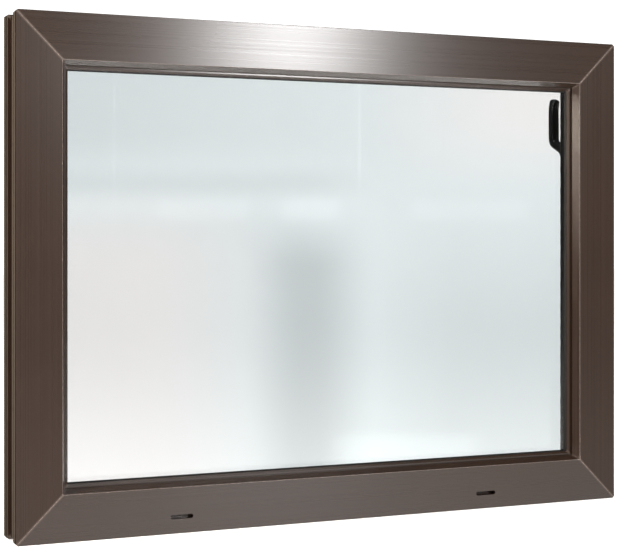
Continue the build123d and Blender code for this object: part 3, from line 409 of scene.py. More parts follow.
@dataclass(frozen=True)
class PaleScrapedAndHighlightPlastic(Finish):
    """Pale, dull and uneven plastic: skin cut off by a knife on the welds, and a painted highlight on the
    face's rounded edge.
    """

    colour: Colour = (0.15, 0.113, 0.092)
    roughness: float = 0.5

    def make(self) -> bpy.types.Material:
        """Build the material."""
        made, graph = self.start()
        patch = graph.noise((260.0, 260.0, 260.0), 4.0)
        tear = graph.noise((1500.0, 1500.0, 1500.0), 3.0)
        patchy = graph.ramp(patch, 0.36, 0.62)
        tone = graph.blend(patchy, rgba(self.colour, 0.5), rgba(self.colour, 1.25))
        self.close(
            graph,
            {
                "Base Color": tone,
                "Roughness": graph.ramp(tear, 0.3, 0.7, self.roughness - 0.12, self.roughness + 0.12),
                "Normal": graph.bump(tear, 0.4, 0.06 * MM),
            },
        )
        return made


@dataclass(frozen=True)
class Glass(Finish):
    """Clear float glass with a faint cool tint and hardly visible wipe marks."""

    tint: Colour = (0.831, 0.846, 0.848)

    def make(self) -> bpy.types.Material:
        """Build the material."""
        made, graph = self.start()
        wiped = graph.noise((5.0, 5.0, 2.2), 4.0, 0.6)
        tone = graph.blend(graph.ramp(wiped, 0.35, 0.75), rgba(self.tint), rgba(self.tint, 0.988))
        self.close(
            graph,
            {
                "Base Color": tone,
                "Roughness": 0.0,
                "IOR": 1.52,
                "Transmission Weight": 1.0,
            },
        )
        return made


@dataclass(frozen=True)
class PlatedMetal(Finish):
    """Plated or mill-finish metal with fine brushing and cloudy plating."""

    colour: Colour = (0.66, 0.655, 0.62)
    roughness: float = 0.3
    cloud_scale: float = 60.0
    brushed: Point = (500.0, 500.0, 30.0)
    bump_strength: float = 0.1

    def make(self) -> bpy.types.Material:
        """Build the material."""
        made, graph = self.start()
        cloud = graph.noise((self.cloud_scale,) * 3, 4.0)
        brush = graph.noise(self.brushed, 4.0, 0.7)
        tone = graph.blend(graph.ramp(cloud, 0.3, 0.7), rgba(self.colour, 0.82), rgba(self.colour, 1.06))
        rough = graph.ramp(brush, 0.3, 0.7, self.roughness - 0.07, self.roughness + 0.1)
        self.close(
            graph,
            {
                "Base Color": tone,
                "Metallic": 1.0,
                "Roughness": graph.maths("ADD", rough, graph.ramp(cloud, 0.3, 0.7, -0.04, 0.05)),
                "Normal": graph.bump(brush, self.bump_strength, 0.03 * MM),
            },
        )
        return made


@dataclass(frozen=True)
class PerforatedMetal(Finish):
    """Aluminium spacer bar with two rows of tiny slits in its visible face."""

    colour: Colour = (0.045, 0.043, 0.04)
    middle: float = 30.5 * MM
    pitch: float = 3.0 * MM
    row_at: float = 1.6 * MM
    slit_half_width: float = 0.16 * MM

    def slits(self, graph: Graph) -> Socket:
        """Share of slit: 1 inside a slit.

        The distance along the bar is X on level bars and Z on upright ones, chosen by
        which way the surface faces. A slit covers a third of each pitch, in two rows.
        """
        where = graph.add("SeparateXYZ", {0: graph.add("TexCoord").outputs["Object"]}).outputs
        facing = graph.add("SeparateXYZ", {0: graph.add("NewGeometry").outputs["Normal"]}).outputs
        level = graph.maths("GREATER_THAN", graph.maths("ABSOLUTE", facing[2]), 0.5)
        upright = graph.maths("SUBTRACT", 1.0, level)
        along = graph.maths(
            "ADD", graph.maths("MULTIPLY", where[0], level), graph.maths("MULTIPLY", where[2], upright)
        )
        turn = graph.maths("FRACT", graph.maths("DIVIDE", graph.maths("ADD", along, 1.0), self.pitch))
        from_slit = graph.maths("ABSOLUTE", graph.maths("SUBTRACT", turn, 0.5))
        inside = graph.maths("LESS_THAN", from_slit, 0.17)
        off = graph.maths("ABSOLUTE", graph.maths("SUBTRACT", where[1], self.middle))
        from_row = graph.maths("ABSOLUTE", graph.maths("SUBTRACT", off, self.row_at))
        row = graph.maths("LESS_THAN", from_row, self.slit_half_width)
        return graph.maths("MULTIPLY", inside, row)

    def make(self) -> bpy.types.Material:
        """Build the material."""
        made, graph = self.start()
        slits = self.slits(graph)
        mill = graph.noise((90.0, 900.0, 90.0), 3.0)
        tone = graph.blend(graph.ramp(mill, 0.3, 0.7), rgba(self.colour, 0.9), rgba(self.colour, 1.05))
        self.close(
            graph,
            {
                "Base Color": graph.blend(slits, tone, rgba((0.02, 0.02, 0.02))),
                "Metallic": 1.0,
                "Roughness": graph.ramp(mill, 0.3, 0.7, 0.32, 0.44),
                "Normal": graph.bump(graph.maths("SUBTRACT", 1.0, slits), 0.5, 0.1 * MM),
            },
        )
        return made


@dataclass(frozen=True)
class Rubber(Finish):
    """Dark rubber or sealant, dull and a little dusty."""

    colour: Colour = (0.007, 0.0067, 0.0065)
    dust: Colour = (0.028, 0.026, 0.024)
    roughness: float = 0.62

    def make(self) -> bpy.types.Material:
        """Build the material."""
        made, graph = self.start()
        dust = graph.noise((80.0, 80.0, 80.0), 5.0, 0.65)
        grainy = graph.noise((2200.0, 2200.0, 2200.0), 2.0)
        tone = graph.blend(graph.ramp(dust, 0.5, 0.8, 0.0, 0.55), rgba(self.colour), rgba(self.dust))
        self.close(
            graph,
            {
                "Base Color": tone,
                "Roughness": graph.ramp(dust, 0.3, 0.8, self.roughness - 0.1, self.roughness + 0.16),
                "Specular IOR Level": 0.25,
                "Normal": graph.bump(grainy, 0.2, 0.05 * MM),
            },
        )
        return made


@dataclass(frozen=True)
class MouldedPlastic(Finish):
    """Moulded plastic with a faint orange-peel skin."""

    colour: Colour = (0.0045, 0.0045, 0.0043)
    roughness: float = 0.2
    coat: float = 0.15

    def make(self) -> bpy.types.Material:
        """Build the material."""
        made, graph = self.start()
        peel = graph.noise((420.0, 420.0, 420.0), 2.0, 0.4)
        wear = graph.noise((45.0, 45.0, 45.0), 4.0)
        tone = graph.blend(graph.ramp(wear, 0.35, 0.7), rgba(self.colour, 0.9), rgba(self.colour, 1.25))
        self.close(
            graph,
            {
                "Base Color": tone,
                "Roughness": graph.ramp(wear, 0.3, 0.7, self.roughness - 0.04, self.roughness + 0.08),
                "Coat Weight": self.coat,
                "Coat Roughness": 0.08,
                "Normal": graph.bump(peel, 0.08, 0.08 * MM),
            },
        )
        return made


class Finishes:
    """Every finish of the window, each made once."""

    def __init__(self) -> None:
        """Make the materials."""
        plated = {"colour": (0.62, 0.615, 0.585)}
        self.rail = ExtrudedPlastic("plastic_rail", grain=Grain.ACROSS).make()
        self.jamb = ExtrudedPlastic(
            "plastic_jamb", grain=Grain.UPRIGHT, smear=0.1, painted_streak_sheen=0.08, gloss=0.24
        ).make()
        self.scraped = PaleScrapedAndHighlightPlastic("plastic_scraped").make()
        # painted highlight: pale finish of the bead on the face's rounded edge
        self.painted_edge_highlight = PaleScrapedAndHighlightPlastic(
            "plastic_painted_edge_highlight", colour=(0.13, 0.1, 0.088), roughness=0.36
        ).make()
        self.glass = Glass("glass_clear").make()
        self.spacer = PerforatedMetal("spacer_bar").make()
        self.sealant = Rubber("edge_sealant", colour=(0.02, 0.02, 0.02), roughness=0.5).make()
        self.rubber = Rubber("seal_rubber").make()
        self.block = MouldedPlastic(
            "block_plastic", colour=(0.05, 0.16, 0.3), roughness=0.45, coat=0.0
        ).make()
        self.steel = PlatedMetal("galvanised_steel", colour=(0.55, 0.56, 0.57), cloud_scale=140.0).make()
        self.zinc = PlatedMetal("zinc_plate", **plated).make()
        self.cast = PlatedMetal(
            "zinc_casting", colour=(0.48, 0.48, 0.47), roughness=0.42, brushed=(700.0,) * 3
        ).make()
        self.screw = PlatedMetal("zinc_screw", colour=(0.66, 0.64, 0.56), roughness=0.26).make()
        self.handle = MouldedPlastic("handle_black").make()


# ---- sub-assemblies -----------------------------------------------------------------


def ride(
    piece: bpy.types.Object, body: Body, finish: bpy.types.Material
) -> None:
    """Give a new piece its finish and the body that it rides on.

    Args:
        piece: The new piece.
        body: Body that carries it.
        finish: Material that covers it.
    """
    piece.data.materials.clear()
    piece.data.materials.append(finish)
    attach(piece, body.value)
    log.info("%s rides on %s, %d faces", piece.name, body.value, len(piece.data.polygons))


@dataclass
class Opening:
    """Outer size of the window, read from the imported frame."""

    width: float = field(default_factory=lambda: 2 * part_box("frame_right_jamb")[1].x)
    height: float = field(default_factory=lambda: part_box("frame_head")[1].z)

    def corners(self) -> List[Tuple[int, int]]:
        """Signs of the four corners: left or right, bottom or top."""
        return [(-1, -1), (1, -1), (1, 1), (-1, 1)]

    def on_mitre(self, corner: Tuple[int, int], inset: np.ndarray, depth: float) -> np.ndarray:
        """Points on a corner's mitre at given insets and one depth."""
        across, up = corner
        x = across * (self.width / 2 - inset)
        z = self.height - inset if up > 0 else inset
        return np.stack([x, np.full_like(inset, depth), z], axis=-1)

    def loop(self, section: np.ndarray, steps: int, wave: Optional[np.ndarray] = None) -> np.ndarray:
        """Carry a section round the opening with mitred corners.

        A section's point (depth, inset) runs along the rectangle at that inset. Each
        side is divided evenly between its two mitres, so a point is a straight mix of
        the two corners it lies between.

        Args:
            section: Points (depth, inset), shape (columns, 2).
            steps: Divisions of each side.
            wave: Change of inset, shape (4 * steps, columns), or None.

        Returns:
            The grid of points, shape (4 * steps, columns, 3).
        """
        signs = np.array(self.corners(), float)
        share = np.linspace(0.0, 1.0, steps, endpoint=False)
        start = np.repeat(signs, steps, axis=0)
        end = np.repeat(np.roll(signs, -1, axis=0), steps, axis=0)
        mix = np.tile(share, 4)[:, None]
        place = start * (1 - mix) + end * mix
        inset = section[:, 1][None, :] + (0.0 if wave is None else wave)
        x = place[:, 0:1] * (self.width / 2 - inset)
        z = self.height / 2 + place[:, 1:2] * (self.height / 2 - inset)
        y = np.broadcast_to(section[:, 0][None, :], x.shape)
        return np.stack([x, y, z], axis=-1)


@dataclass
class Welds:
    """Welded corners: a scraped seam on each mitre, a painted highlight along the face's rounded edge and
    small nicks.
    """

    opening: Opening
    finishes: Finishes
    face_from: float = 1.9 * MM
    face_to: float = 53.7 * MM
    seam_wide: float = 0.42 * MM
    seam_narrow: float = 0.2 * MM
    seam_proud: float = 0.05 * MM
    seam_sunk: float = 0.12 * MM

    def seam(
        self, name: str, corner: Tuple[int, int], span: Span, depth: float, out: float, seed: int
    ) -> bpy.types.Object:
        """A seam along one mitre.

        Its top is a low arch: height is the crown times one less the square of the
        share of half width. Half width grows from the outer to the inner corner and
        wavers by three sines of different lengths.

        Args:
            name: Name of the piece.
            corner: Signs of the corner.
            span: Insets where the seam starts and ends.
            depth: Depth of the surface that it lies on.
            out: Direction that the surface faces along Y, -1 or 1.
            seed: Seed of the wavering.

        Returns:
            The seam.
        """
        rows, columns = 90, 7
        draw = np.random.default_rng(seed)
        share = np.linspace(0.0, 1.0, rows)
        inset = span[0] + (span[1] - span[0]) * share
        phase = draw.uniform(0, 2 * np.pi, 3)
        waver = sum(np.sin(share * n + p) for n, p in zip((19.0, 43.0, 97.0), phase)) / 3
        half = (self.seam_narrow + (self.seam_wide - self.seam_narrow) * share**2) * (1 + 0.22 * waver)
        half = half * np.clip(np.minimum(share, 1 - share) * 40, 0.15, 1.0)
        path = self.opening.on_mitre(corner, inset, depth)
        direction = np.array([-corner[0], 0.0, -corner[1]]) / math.sqrt(2)
        across = np.cross(direction, [0.0, 1.0, 0.0])
        t = np.linspace(-1.0, 1.0, columns)
        crown = self.seam_proud * (1 + 0.3 * waver)
        arch = np.stack([half[:, None] * t, crown[:, None] * (1 - t**2)], axis=-1)
        base = np.stack([half[:, None] * t[::-1], np.full((rows, columns), -self.seam_sunk)], axis=-1)
        profile = np.concatenate([arch, base], axis=1)
        side = np.tile(across, (rows, 1))
        up = np.tile([0.0, out, 0.0], (rows, 1))
        return grid_object(name, carried(path, side, up, profile))

    def seams(self) -> None:
        """Seams of the outside face, the frame's room face and the sash's room face."""
        sash_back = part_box("sash_head")[1].y
        frame_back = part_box("frame_head")[1].y
        places = (
            ("weld_face", Body.FRAME, (self.face_from, self.face_to), 0.0, -1.0),
            ("weld_rear", Body.FRAME, (3.2 * MM, 15.2 * MM), frame_back, 1.0),
            ("weld_sash", Body.SASH, (26.2 * MM, 45.2 * MM), sash_back, 1.0),
        )
        for group, (title, body, span, depth, out) in enumerate(places):
            parts = [
                self.seam(f"{title}_{n}", corner, span, depth, out, 11 + 7 * n + 31 * group)
                for n, corner in enumerate(self.opening.corners())
            ]
            ride(joined(title, parts), body, self.finishes.scraped)

    def painted_edge_highlight(self) -> None:
        """Painted highlight round the face's opening: a pale bead on the rounded edge stands in for the
        highlight that the rounding catches.

        Its section is an arc of a circle a hair larger than the edge's own round,
        from the face's direction to the reveal's, closed by the same arc sunk in.
        """
        centre = np.array([0.6 * MM, 53.6 * MM])
        angle = np.linspace(math.pi, math.pi - 1.17, 7)
        turn = np.stack([np.cos(angle), np.sin(angle)], axis=-1)
        section = np.concatenate([centre + 0.615 * MM * turn, centre + 0.5 * MM * turn[::-1]])
        grid = self.opening.loop(section, 60)
        ride(grid_object("face_painted_edge_highlight", grid, ring=True), Body.FRAME, self.finishes.painted_edge_highlight)

    def nicks(self) -> None:
        """Small whitish nicks where the weld flash was cut away.

        Each is a flake along the face's inner edge: an ellipse in plan, with a height
        that falls from its middle as the root of one less the squared radius share.
        """
        draw = np.random.default_rng(5)
        half_x, low, high = self.opening.width / 2 - 54 * MM, 54 * MM, self.opening.height - 54 * MM
        spots = [(half_x + 0.6 * MM, low + d) for d in (0.3 * MM, 4 * MM, 9 * MM, 24 * MM, 27 * MM)]
        spots += [(half_x - d, low - 0.5 * MM) for d in (1.5 * MM, 22 * MM)]
        spots += [(-half_x - 0.5 * MM, high - d) for d in (2 * MM, 60 * MM, 118 * MM, 226 * MM, 371 * MM)]
        spots += [(-half_x + d, low - 0.6 * MM) for d in (0.2 * MM, 21 * MM, 52 * MM)]
        parts = []
        for n, (x, z) in enumerate(spots):
            long, wide = draw.uniform(0.7, 1.9) * MM, draw.uniform(0.22, 0.42) * MM
            upright = abs(abs(x) - half_x) < 1 * MM
            radius = np.array([0.0, 0.35, 0.7, 0.9, 1.0, 1.0, 0.0])
            height = np.array([0.06, 0.055, 0.04, 0.02, 0.0, -0.1, -0.1]) * MM
            angle = np.linspace(0.0, 2 * np.pi, 12, endpoint=False)
            rough = 1 + 0.25 * draw.uniform(-1, 1, angle.shape)
            u = radius[:, None] * np.cos(angle) * rough * (wide if upright else long)
            w = radius[:, None] * np.sin(angle) * rough * (long if upright else wide)
            y = np.repeat(-height[:, None], len(angle), axis=1)
            grid = np.stack([x + u, y, z + w], axis=-1)
            parts.append(grid_object(f"nick_{n}", grid, ends=False))
        ride(joined("face_nicks", parts), Body.FRAME, self.finishes.scraped)

    def build(self) -> None:
        """Build every weld detail."""
        self.seams()
        self.painted_edge_highlight()
        self.nicks()


@dataclass
class GlazingSeals:
    """Squeezed-out butyl between the spacer and the two panes."""

    opening: Opening
    finishes: Finishes
    bead: float = 0.5 * MM

    def line(self, name: str, depth: float, into: float) -> None:
        """One butyl line: a quarter round that wavers along the spacer.

        Args:
            name: Name of the piece.
            depth: Depth of the pane's face.
            into: Direction into the cavity, -1 or 1.
        """
        steps = 160
        inset = self.opening.width / 2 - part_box("glass_spacer")[1].x + self.spacer_height()
        angle = np.linspace(0.0, math.pi / 2, 6)
        arc = np.stack([into * self.bead * np.cos(angle), self.bead * np.sin(angle)], axis=-1)
        heel = np.array([[0.0, -0.3 * MM], [into * self.bead, -0.3 * MM]])
        section = np.concatenate([arc, heel]) + np.array([depth, inset])
        turn = np.linspace(0.0, 2 * np.pi, 4 * steps, endpoint=False)[:, None]
        wave = 0.12 * MM * (np.sin(61 * turn) + np.sin(137 * turn + 1.3)) * (section[:, 1] > inset)
        grid = self.opening.loop(section, steps, wave)
        ride(grid_object(name, grid, ring=True), Body.SASH, self.finishes.sealant)

    def spacer_height(self) -> float:
        """How far the spacer reaches in from its own outer edge."""
        return 6.5 * MM

    def build(self) -> None:
        """Build both lines."""
        self.line("butyl_outer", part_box("glass_spacer")[0].y, 1.0)
        self.line("butyl_inner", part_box("glass_spacer")[1].y, -1.0)


@dataclass
class Lever:
    """Cranked handle: a turned hub and an arm with a straight grip and hooked tip."""

    finishes: Finishes
    width: float = 12.5 * MM
    thickness: float = 11.0 * MM
    squareness: float = 3.2
    hub_radius: float = 8.5 * MM
    collar_radius: float = 7.4 * MM

    def __post_init__(self) -> None:
        """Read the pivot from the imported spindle."""
        low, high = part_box("handle_spindle")
        self.x = (low.x + high.x) / 2
        self.z = (low.z + high.z) / 2
        self.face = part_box("sash_head")[1].y

    def bends(self) -> Tuple[np.ndarray, np.ndarray]:
        """Corners of the arm's centre line as (depth, height), and each bend's radius."""
        corners = np.array(
            [(9.0, 0.0), (12.6, 1.2), (19.5, 12.0), (43.5, 23.5), (43.9, 70.0), (40.5, 83.0)]
        )
        radii = np.array([4.0, 7.0, 9.0, 14.0])
        return corners * MM + np.array([self.face, self.z]), radii * MM

    def centre_line(self) -> np.ndarray:
        """Centre line in the plane of the arm.

        Straight runs join at each corner by a parabola that starts and ends one
        tangent length away, the tangent length being the bend's radius times the
        tangent of half the turn.
        """
        corners, radii = self.bends()
        pieces = [np.linspace(corners[0], corners[0], 1)]
        share = np.linspace(0.0, 1.0, 14)[:, None]
        for before, corner, after, radius in zip(corners, corners[1:], corners[2:], radii):
            back, on = before - corner, after - corner
            back_length, on_length = np.linalg.norm(back), np.linalg.norm(on)
            turn = math.pi - math.acos(np.clip(back @ on / back_length / on_length, -1, 1))
            tangent = min(radius * math.tan(turn / 2) * 1.25, 0.48 * back_length, 0.48 * on_length)
            start, end = corner + back / back_length * tangent, corner + on / on_length * tangent
            pieces.append((1 - share) ** 2 * start + 2 * share * (1 - share) * corner + share**2 * end)
        pieces.append(corners[-1:])
        rough = np.concatenate(pieces)
        length = np.concatenate([[0.0], np.cumsum(np.linalg.norm(np.diff(rough, axis=0), axis=1))])
        even = np.linspace(0.0, length[-1], 150)
        return np.stack([np.interp(even, length, rough[:, n]) for n in (0, 1)], axis=-1)

    def arm(self) -> bpy.types.Object:
        """The arm.

        Its section is a rounded rectangle: each coordinate is half the size times the
        cosine or sine raised to two over the squareness. The section is larger at the
        root, swells a little along the grip and ends in a dome, where its size is the
        root of one less the square of the share of the dome.
        """
        line = self.centre_line()
        rows = len(line)
        step = np.gradient(line, axis=0)
        step /= np.linalg.norm(step, axis=1)[:, None]
        length = np.concatenate([[0.0], np.cumsum(np.linalg.norm(np.diff(line, axis=0), axis=1))])
        share = length / length[-1]
        swell = 1.0 + 0.03 * np.exp(-(((share - 0.62) / 0.2) ** 2)) + 0.12 * np.exp(-((share / 0.085) ** 2))
        dome_length = 5.0 * MM
        dome = np.clip((length - (length[-1] - dome_length)) / dome_length, 0.0, 1.0)
        size = swell * (1 - dome**2.6) ** (1 / 2.2)
        angle = np.linspace(0.0, 2 * np.pi, 40, endpoint=False)
        power = 2 / self.squareness
        u = np.sign(np.cos(angle)) * np.abs(np.cos(angle)) ** power * self.width / 2
        w = np.sign(np.sin(angle)) * np.abs(np.sin(angle)) ** power * self.thickness / 2
        profile = size[:, None, None] * np.stack([u, w], axis=-1)[None]
        path = np.stack([np.full(rows, self.x), line[:, 0], line[:, 1]], axis=-1)
        across = np.tile([1.0, 0.0, 0.0], (rows, 1))
        up = np.stack([np.zeros(rows), -step[:, 1], step[:, 0]], axis=-1)
        return grid_object("lever_arm", carried(path, across, up, profile))

    def hub(self) -> bpy.types.Object:
        """The hub and its collar, turned about the spindle's axis.

        The profile gives radius against distance from the sash's face. Its shoulder
        is a quarter circle, and a fine groove runs round the foot.
        """
        angle = np.linspace(0.0, math.pi / 2, 9)
        shoulder = 2.6
        top = 15.4
        reach = self.hub_radius / MM
        round_off = np.stack(
            [top - shoulder + shoulder * np.sin(angle), reach - shoulder + shoulder * np.cos(angle)], axis=-1
        )
        collar = self.collar_radius / MM
        foot = [(0.4, 0.0), (0.4, collar), (7.4, collar), (7.4, reach - 0.3), (7.7, reach)]
        groove = [(8.9, reach), (9.05, reach - 0.3), (9.35, reach - 0.3), (9.5, reach)]
        profile = np.concatenate([foot, groove, round_off, [(top + 0.15, 3.0), (top + 0.15, 0.0)]]) * MM
        grid = lathed(profile, 72) + np.array([self.x, self.face, self.z])
        return grid_object("lever_hub", grid, ends=False)

    def build(self) -> None:
        """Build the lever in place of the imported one."""
        for piece in (self.arm(), self.hub()):
            ride(piece, Body.HANDLE, self.finishes.handle)
            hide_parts("handle_lever")


@dataclass
class PackedParts:
    """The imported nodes, which keep their shapes and get finer finishes."""

    finishes: Finishes

    def finish_for(self, node: str) -> bpy.types.Material:
        """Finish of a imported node, by the first part of its name that is known.

        Args:
            node: Name of the node.

        Returns:
            Its material.
        """
        known = self.finishes
        order = (
            ("frame_gasket", known.rubber),
            ("frame_head", known.rail),
            ("frame_sill", known.rail),
            ("frame_", known.jamb),
            ("sash_head", known.rail),
            ("sash_bottom", known.rail),
            ("sash_", known.jamb),
            ("glazing_bead_head", known.rail),
            ("glazing_bead_bottom", known.rail),
            ("glazing_bead", known.jamb),
            ("glazing_gasket", known.rubber),
            ("glazing_blocks", known.block),
            ("glass_outer", known.glass),
            ("glass_inner", known.glass),
            ("glass_spacer", known.spacer),
            ("glass_edge", known.sealant),
            ("steel_", known.steel),
            ("gearbox_case", known.cast),
            ("striker_screws", known.screw),
            ("striker_", known.cast),
            ("handle_screws", known.screw),
            ("handle_spindle", known.zinc),
            ("handle_", known.handle),
            ("rosette_", known.handle),
            ("hinge_frame_screws", known.screw),
            ("hinge_sash_screws", known.screw),
            ("stay_screws", known.screw),
            ("faceplate_screws", known.screw),
        )
        return next((finish for start, finish in order if node.startswith(start)), known.zinc)

    def build(self) -> None:
        """Give every node its finish."""
        for name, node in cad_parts.items():
            finish = self.finish_for(name)
            for slot in node.material_slots:
                slot.material = finish
            log.info("%s is finished in %s", name, finish.name)


# ---- studio -------------------------------------------------------------------------


@dataclass(frozen=True)
class Lamp:
    """A soft rectangular lamp, which the camera doesn't see.

    Its fields are its place, the point that it faces, its width and height, the
    brightness and colour of its surface, and whether reflections show it.
    """

    name: str
    at: Point
    aim: Point
    size: Span
    radiance: float
    tone: Colour = (1.0, 1.0, 1.0)
    mirrored: bool = True

    def build(self) -> None:
        """Add the lamp. Its power is radiance times pi times its area."""
        data = bpy.data.lights.new(self.name, "AREA")
        data.shape = "RECTANGLE"
        data.size, data.size_y = self.size
        data.energy = self.radiance * math.pi * self.size[0] * self.size[1]
        data.color = self.tone
        made = bpy.data.objects.new(self.name, data)
        made.location = self.at
        made.rotation_euler = (Vector(self.aim) - Vector(self.at)).to_track_quat("-Z", "Y").to_euler()
        made.visible_camera = False
        made.visible_glossy = self.mirrored
        made.visible_transmission = self.mirrored
        bpy.context.scene.collection.objects.link(made)


@dataclass(frozen=True)
class PaintedReflection:
    """A soft-edged painted reflection on the backdrop, lighter or darker than the rest.

    Its fields are its left and right edges, its lower and upper edges, the softness
    of each pair, and how much it adds to the backdrop's brightness.
    """

    wide: Span
    tall: Span
    soft: Span
    gain: float

    def cover(self, graph: Graph, across: Socket, up: Socket) -> Socket:
        """Brightness that the rectangle adds.

        Args:
            graph: Node graph.
            across: Sideways direction.
            up: Upward direction.

        Returns:
            The gain inside, falling to 0 outside.
        """
        soft_across, soft_up = self.soft
        left = graph.ramp(across, self.wide[0] - soft_across, self.wide[0] + soft_across)
        right = graph.ramp(across, self.wide[1] - soft_across, self.wide[1] + soft_across, 1.0, 0.0)
        low = graph.ramp(up, self.tall[0] - soft_up, self.tall[0] + soft_up)
        high = graph.ramp(up, self.tall[1] - soft_up, self.tall[1] + soft_up, 1.0, 0.0)
        columns = graph.maths("MULTIPLY", left, right)
        inside = graph.maths("MULTIPLY", columns, graph.maths("MULTIPLY", low, high))
        return graph.maths("MULTIPLY", inside, self.gain)


@dataclass
class Studio:
    """Camera, pale floor, bright backdrop and soft lamps."""

    lens: float = 89.97
    sensor: float = 36.0
    yaw: float = 24.073
    camera_at: Point = (-0.8071, -1.7212, 0.3466)
    shift_up: float = -0.0707
    floor_reach: float = 12.0
    backdrop_base: float = 1.45
    backdrop_least: float = 0.8

    def camera(self) -> None:
        """Camera at the left, looking level."""
        data = bpy.data.cameras.new("camera")
        data.lens = self.lens
        data.sensor_width = self.sensor
        data.shift_y = self.shift_up
        data.clip_start = 0.05
        made = bpy.data.objects.new("camera", data)
        made.location = self.camera_at
        made.rotation_euler = (math.pi / 2, 0.0, -math.radians(self.yaw))
        bpy.context.scene.collection.objects.link(made)
        bpy.context.scene.camera = made

    def floor(self) -> None:
        """Wide pale floor at the sill's underside, left out of reflections and of the glass."""
        far = self.floor_reach
        corners = [(-far, -far, 0.0), (far, -far, 0.0), (far, far, 0.0), (-far, far, 0.0)]
        mesh = bpy.data.meshes.new("floor")
        mesh.from_pydata(corners, [], [(0, 1, 2, 3)])
        made = bpy.data.objects.new("floor", mesh)
        bpy.context.scene.collection.objects.link(made)
        material = bpy.data.materials.new("floor_paper")
        material.use_nodes = True
        graph = Graph(material.node_tree)
        shader = graph.add(
            "BsdfPrincipled",
            {
                "Base Color": (0.92, 0.92, 0.915, 1.0),
                "Roughness": 0.9,
                "Specular IOR Level": 0.1,
                "Emission Color": (1.0, 1.0, 1.0, 1.0),
                "Emission Strength": 0.25,
            },
        )
        graph.add("OutputMaterial", {"Surface": shader.outputs[0]})
        mesh.materials.append(material)
        made.visible_glossy = False
        made.visible_transmission = False

    def lamps(self) -> None:
        """Overhead softbox, two fills, a small lamp in front and one at the left."""
        warm = (1.0, 0.88, 0.76)
        for lamp in (
            Lamp("overhead", (0.0, -0.2, 2.7), (0.0, 0.0, 0.0), (2.6, 2.6), 1.9),
            Lamp("fill", (-2.2, -3.2, 1.6), (0.0, 0.0, 0.3), (1.6, 1.6), 0.5),
            Lamp("rail_lamp", (1.051, -2.6, 1.03), (-0.06, 0.0, 0.57), (0.34, 0.2), 245.0),
            Lamp("side_lamp", (-1.5, -0.33, 0.72), (0.3, 0.0, 0.5), (0.25, 0.4), 100.0, warm),
            Lamp("low_fill", (-0.1, -0.55, 0.05), (0.0, 0.0, 0.1), (1.3, 0.2), 2.0, mirrored=False),
        ):
            lamp.build()

    def painted_reflections(self) -> List[PaintedReflection]:
        """Painted room reflections on the backdrop, seen through the glass: darker ones first, then faint
        lighter ones.
        """
        # painted reflections: a dark column, darker patches, faint window lights and thin bright lines of a
        # room reflected in the glass
        return [
            PaintedReflection((-0.026, 0.022), (-1.0, 0.0), (0.022, 0.024), -0.42),
            PaintedReflection((-0.30, 0.022), (0.027, 0.040), (0.03, 0.009), -0.15),
            PaintedReflection((-0.30, -0.02), (0.040, 1.0), (0.17, 0.03), -0.3),
            PaintedReflection((0.04, 0.4), (-1.0, 0.0), (0.06, 0.07), -0.26),
            PaintedReflection((-0.026, 0.4), (0.01, 1.0), (0.05, 0.05), -0.04),
            PaintedReflection((-0.4, -0.02), (-1.0, 0.021), (0.03, 0.022), -0.17),
            PaintedReflection((-0.1, -0.041), (0.010, 0.024), (0.005, 0.003), 0.05),
            PaintedReflection((-0.02, 0.017), (0.010, 0.024), (0.004, 0.003), 0.07),
            PaintedReflection((0.064, 0.138), (0.010, 0.023), (0.005, 0.003), 0.05),
            PaintedReflection((-0.1271, -0.1263), (0.01, 0.11), (0.0012, 0.02), 0.1),
            PaintedReflection((0.0301, 0.0309), (0.03, 0.105), (0.0012, 0.01), 0.16),
            PaintedReflection((0.015, 0.105), (-0.2, -0.128), (0.01, 0.006), 0.14),
        ]

    def backdrop(self, graph: Graph) -> Socket:
        """Brightness of the backdrop that shows behind the glass, with painted room reflections on it.

        The direction is turned by the camera's yaw. Across is then sideways over
        ahead, and up is height over ahead.
        """
        turned = graph.add(
            "Mapping",
            {
                "Vector": graph.add("TexCoord").outputs["Generated"],
                "Rotation": (0.0, 0.0, math.radians(self.yaw)),
            },
        )
        axes = graph.add("SeparateXYZ", {0: turned.outputs["Vector"]}).outputs
        ahead = graph.maths("MAXIMUM", axes[1], 0.05)
        across = graph.maths("DIVIDE", axes[0], ahead)
        up = graph.maths("DIVIDE", axes[2], ahead)
        total: Any = self.backdrop_base
        for reflection_patch in self.painted_reflections():
            total = graph.maths("ADD", total, reflection_patch.cover(graph, across, up))
        return graph.maths("MAXIMUM", total, self.backdrop_least)

    def tint(self, graph: Graph) -> Socket:
        """Colour of the backdrop's painted reflections: warm low at the left and high at the right, cool
        elsewhere.
        """
        axes = graph.add("SeparateXYZ", {0: graph.add("TexCoord").outputs["Generated"]}).outputs
        low = graph.ramp(axes[2], -0.02, 0.04, 1.0, 0.0)
        low_left = graph.maths("MULTIPLY", low, graph.ramp(axes[0], 0.3, 0.4, 1.0, 0.0))
        high = graph.ramp(axes[2], 0.02, 0.08)
        high_right = graph.maths("MULTIPLY", high, graph.ramp(axes[0], 0.42, 0.54))
        share = graph.maths("ADD", low_left, high_right, clamp=True)
        return graph.blend(share, (0.962, 1.0, 1.005, 1.0), (1.045, 1.0, 0.985, 1.0))

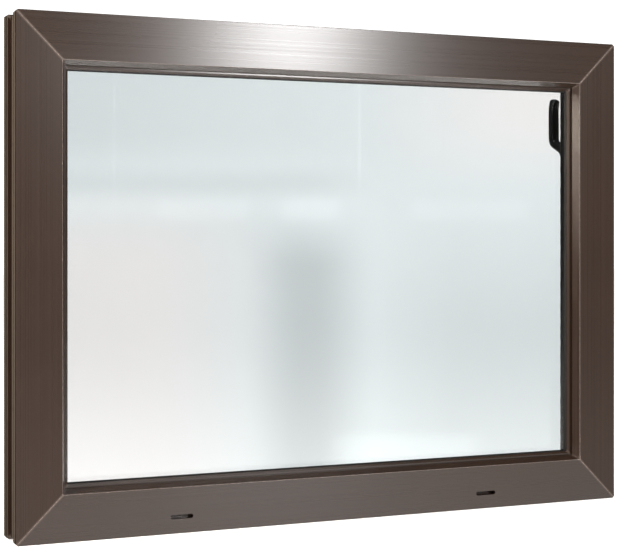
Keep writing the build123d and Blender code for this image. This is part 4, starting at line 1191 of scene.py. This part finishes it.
    def world(self) -> None:
        """White surroundings, a backdrop behind the glass with painted room reflections, and a dim room in
        reflections.

        A ray that was reflected between the panes and leaves through the glass also
        sees the dim room.
        """
        made = bpy.data.worlds.new("studio")
        made.use_nodes = True
        graph = Graph(made.node_tree)
        seen = graph.add("LightPath").outputs
        axes = graph.add("SeparateXYZ", {0: graph.add("TexCoord").outputs["Generated"]}).outputs
        room = graph.ramp(axes[1], -0.35, 0.45, 0.3, 0.95)
        glow = graph.maths("ADD", room, graph.ramp(axes[2], 0.1, 0.9, 0.0, 0.5))
        light = graph.add("Background", {"Color": (1.0, 0.985, 0.965, 1.0), "Strength": glow})
        ground = graph.ramp(axes[2], -0.22, -0.05, 2.7, 0.05)
        mirrored = graph.add("Background", {"Color": (1.0, 0.97, 0.94, 1.0), "Strength": ground})
        behind = graph.add("Background", {"Color": self.tint(graph), "Strength": self.backdrop(graph)})
        white = graph.add("Background", {"Color": (1.0, 1.0, 1.0, 1.0), "Strength": 1.3})
        reflected = graph.maths("GREATER_THAN", seen["Glossy Depth"], 0.5)
        leaving = graph.maths("MULTIPLY", seen["Is Transmission Ray"], reflected)
        shown = light.outputs[0]
        for ray, surroundings in (
            (seen["Is Glossy Ray"], mirrored),
            (seen["Is Transmission Ray"], behind),
            (leaving, mirrored),
            (seen["Is Camera Ray"], white),
        ):
            shown = graph.add("MixShader", {0: ray, 1: shown, 2: surroundings.outputs[0]}).outputs[0]
        graph.add("OutputWorld", {"Surface": shown})
        bpy.context.scene.world = made

    def build(self) -> None:
        """Set up the studio."""
        scene = bpy.context.scene
        scene.view_settings.view_transform = "Standard"
        scene.view_settings.look = "None"
        self.camera()
        self.floor()
        self.lamps()
        self.world()
        log.info("studio is set up")


def main() -> None:
    """Build the sub-assemblies in order, then the studio."""
    logging.basicConfig(level=logging.INFO, format="%(name)s: %(message)s")
    finishes = Finishes()
    opening = Opening()
    for part in (
        PackedParts(finishes),
        Welds(opening, finishes),
        GlazingSeals(opening, finishes),
        Lever(finishes),
        Studio(),
    ):
        part.build()


if __name__ == "__main__":
    main()
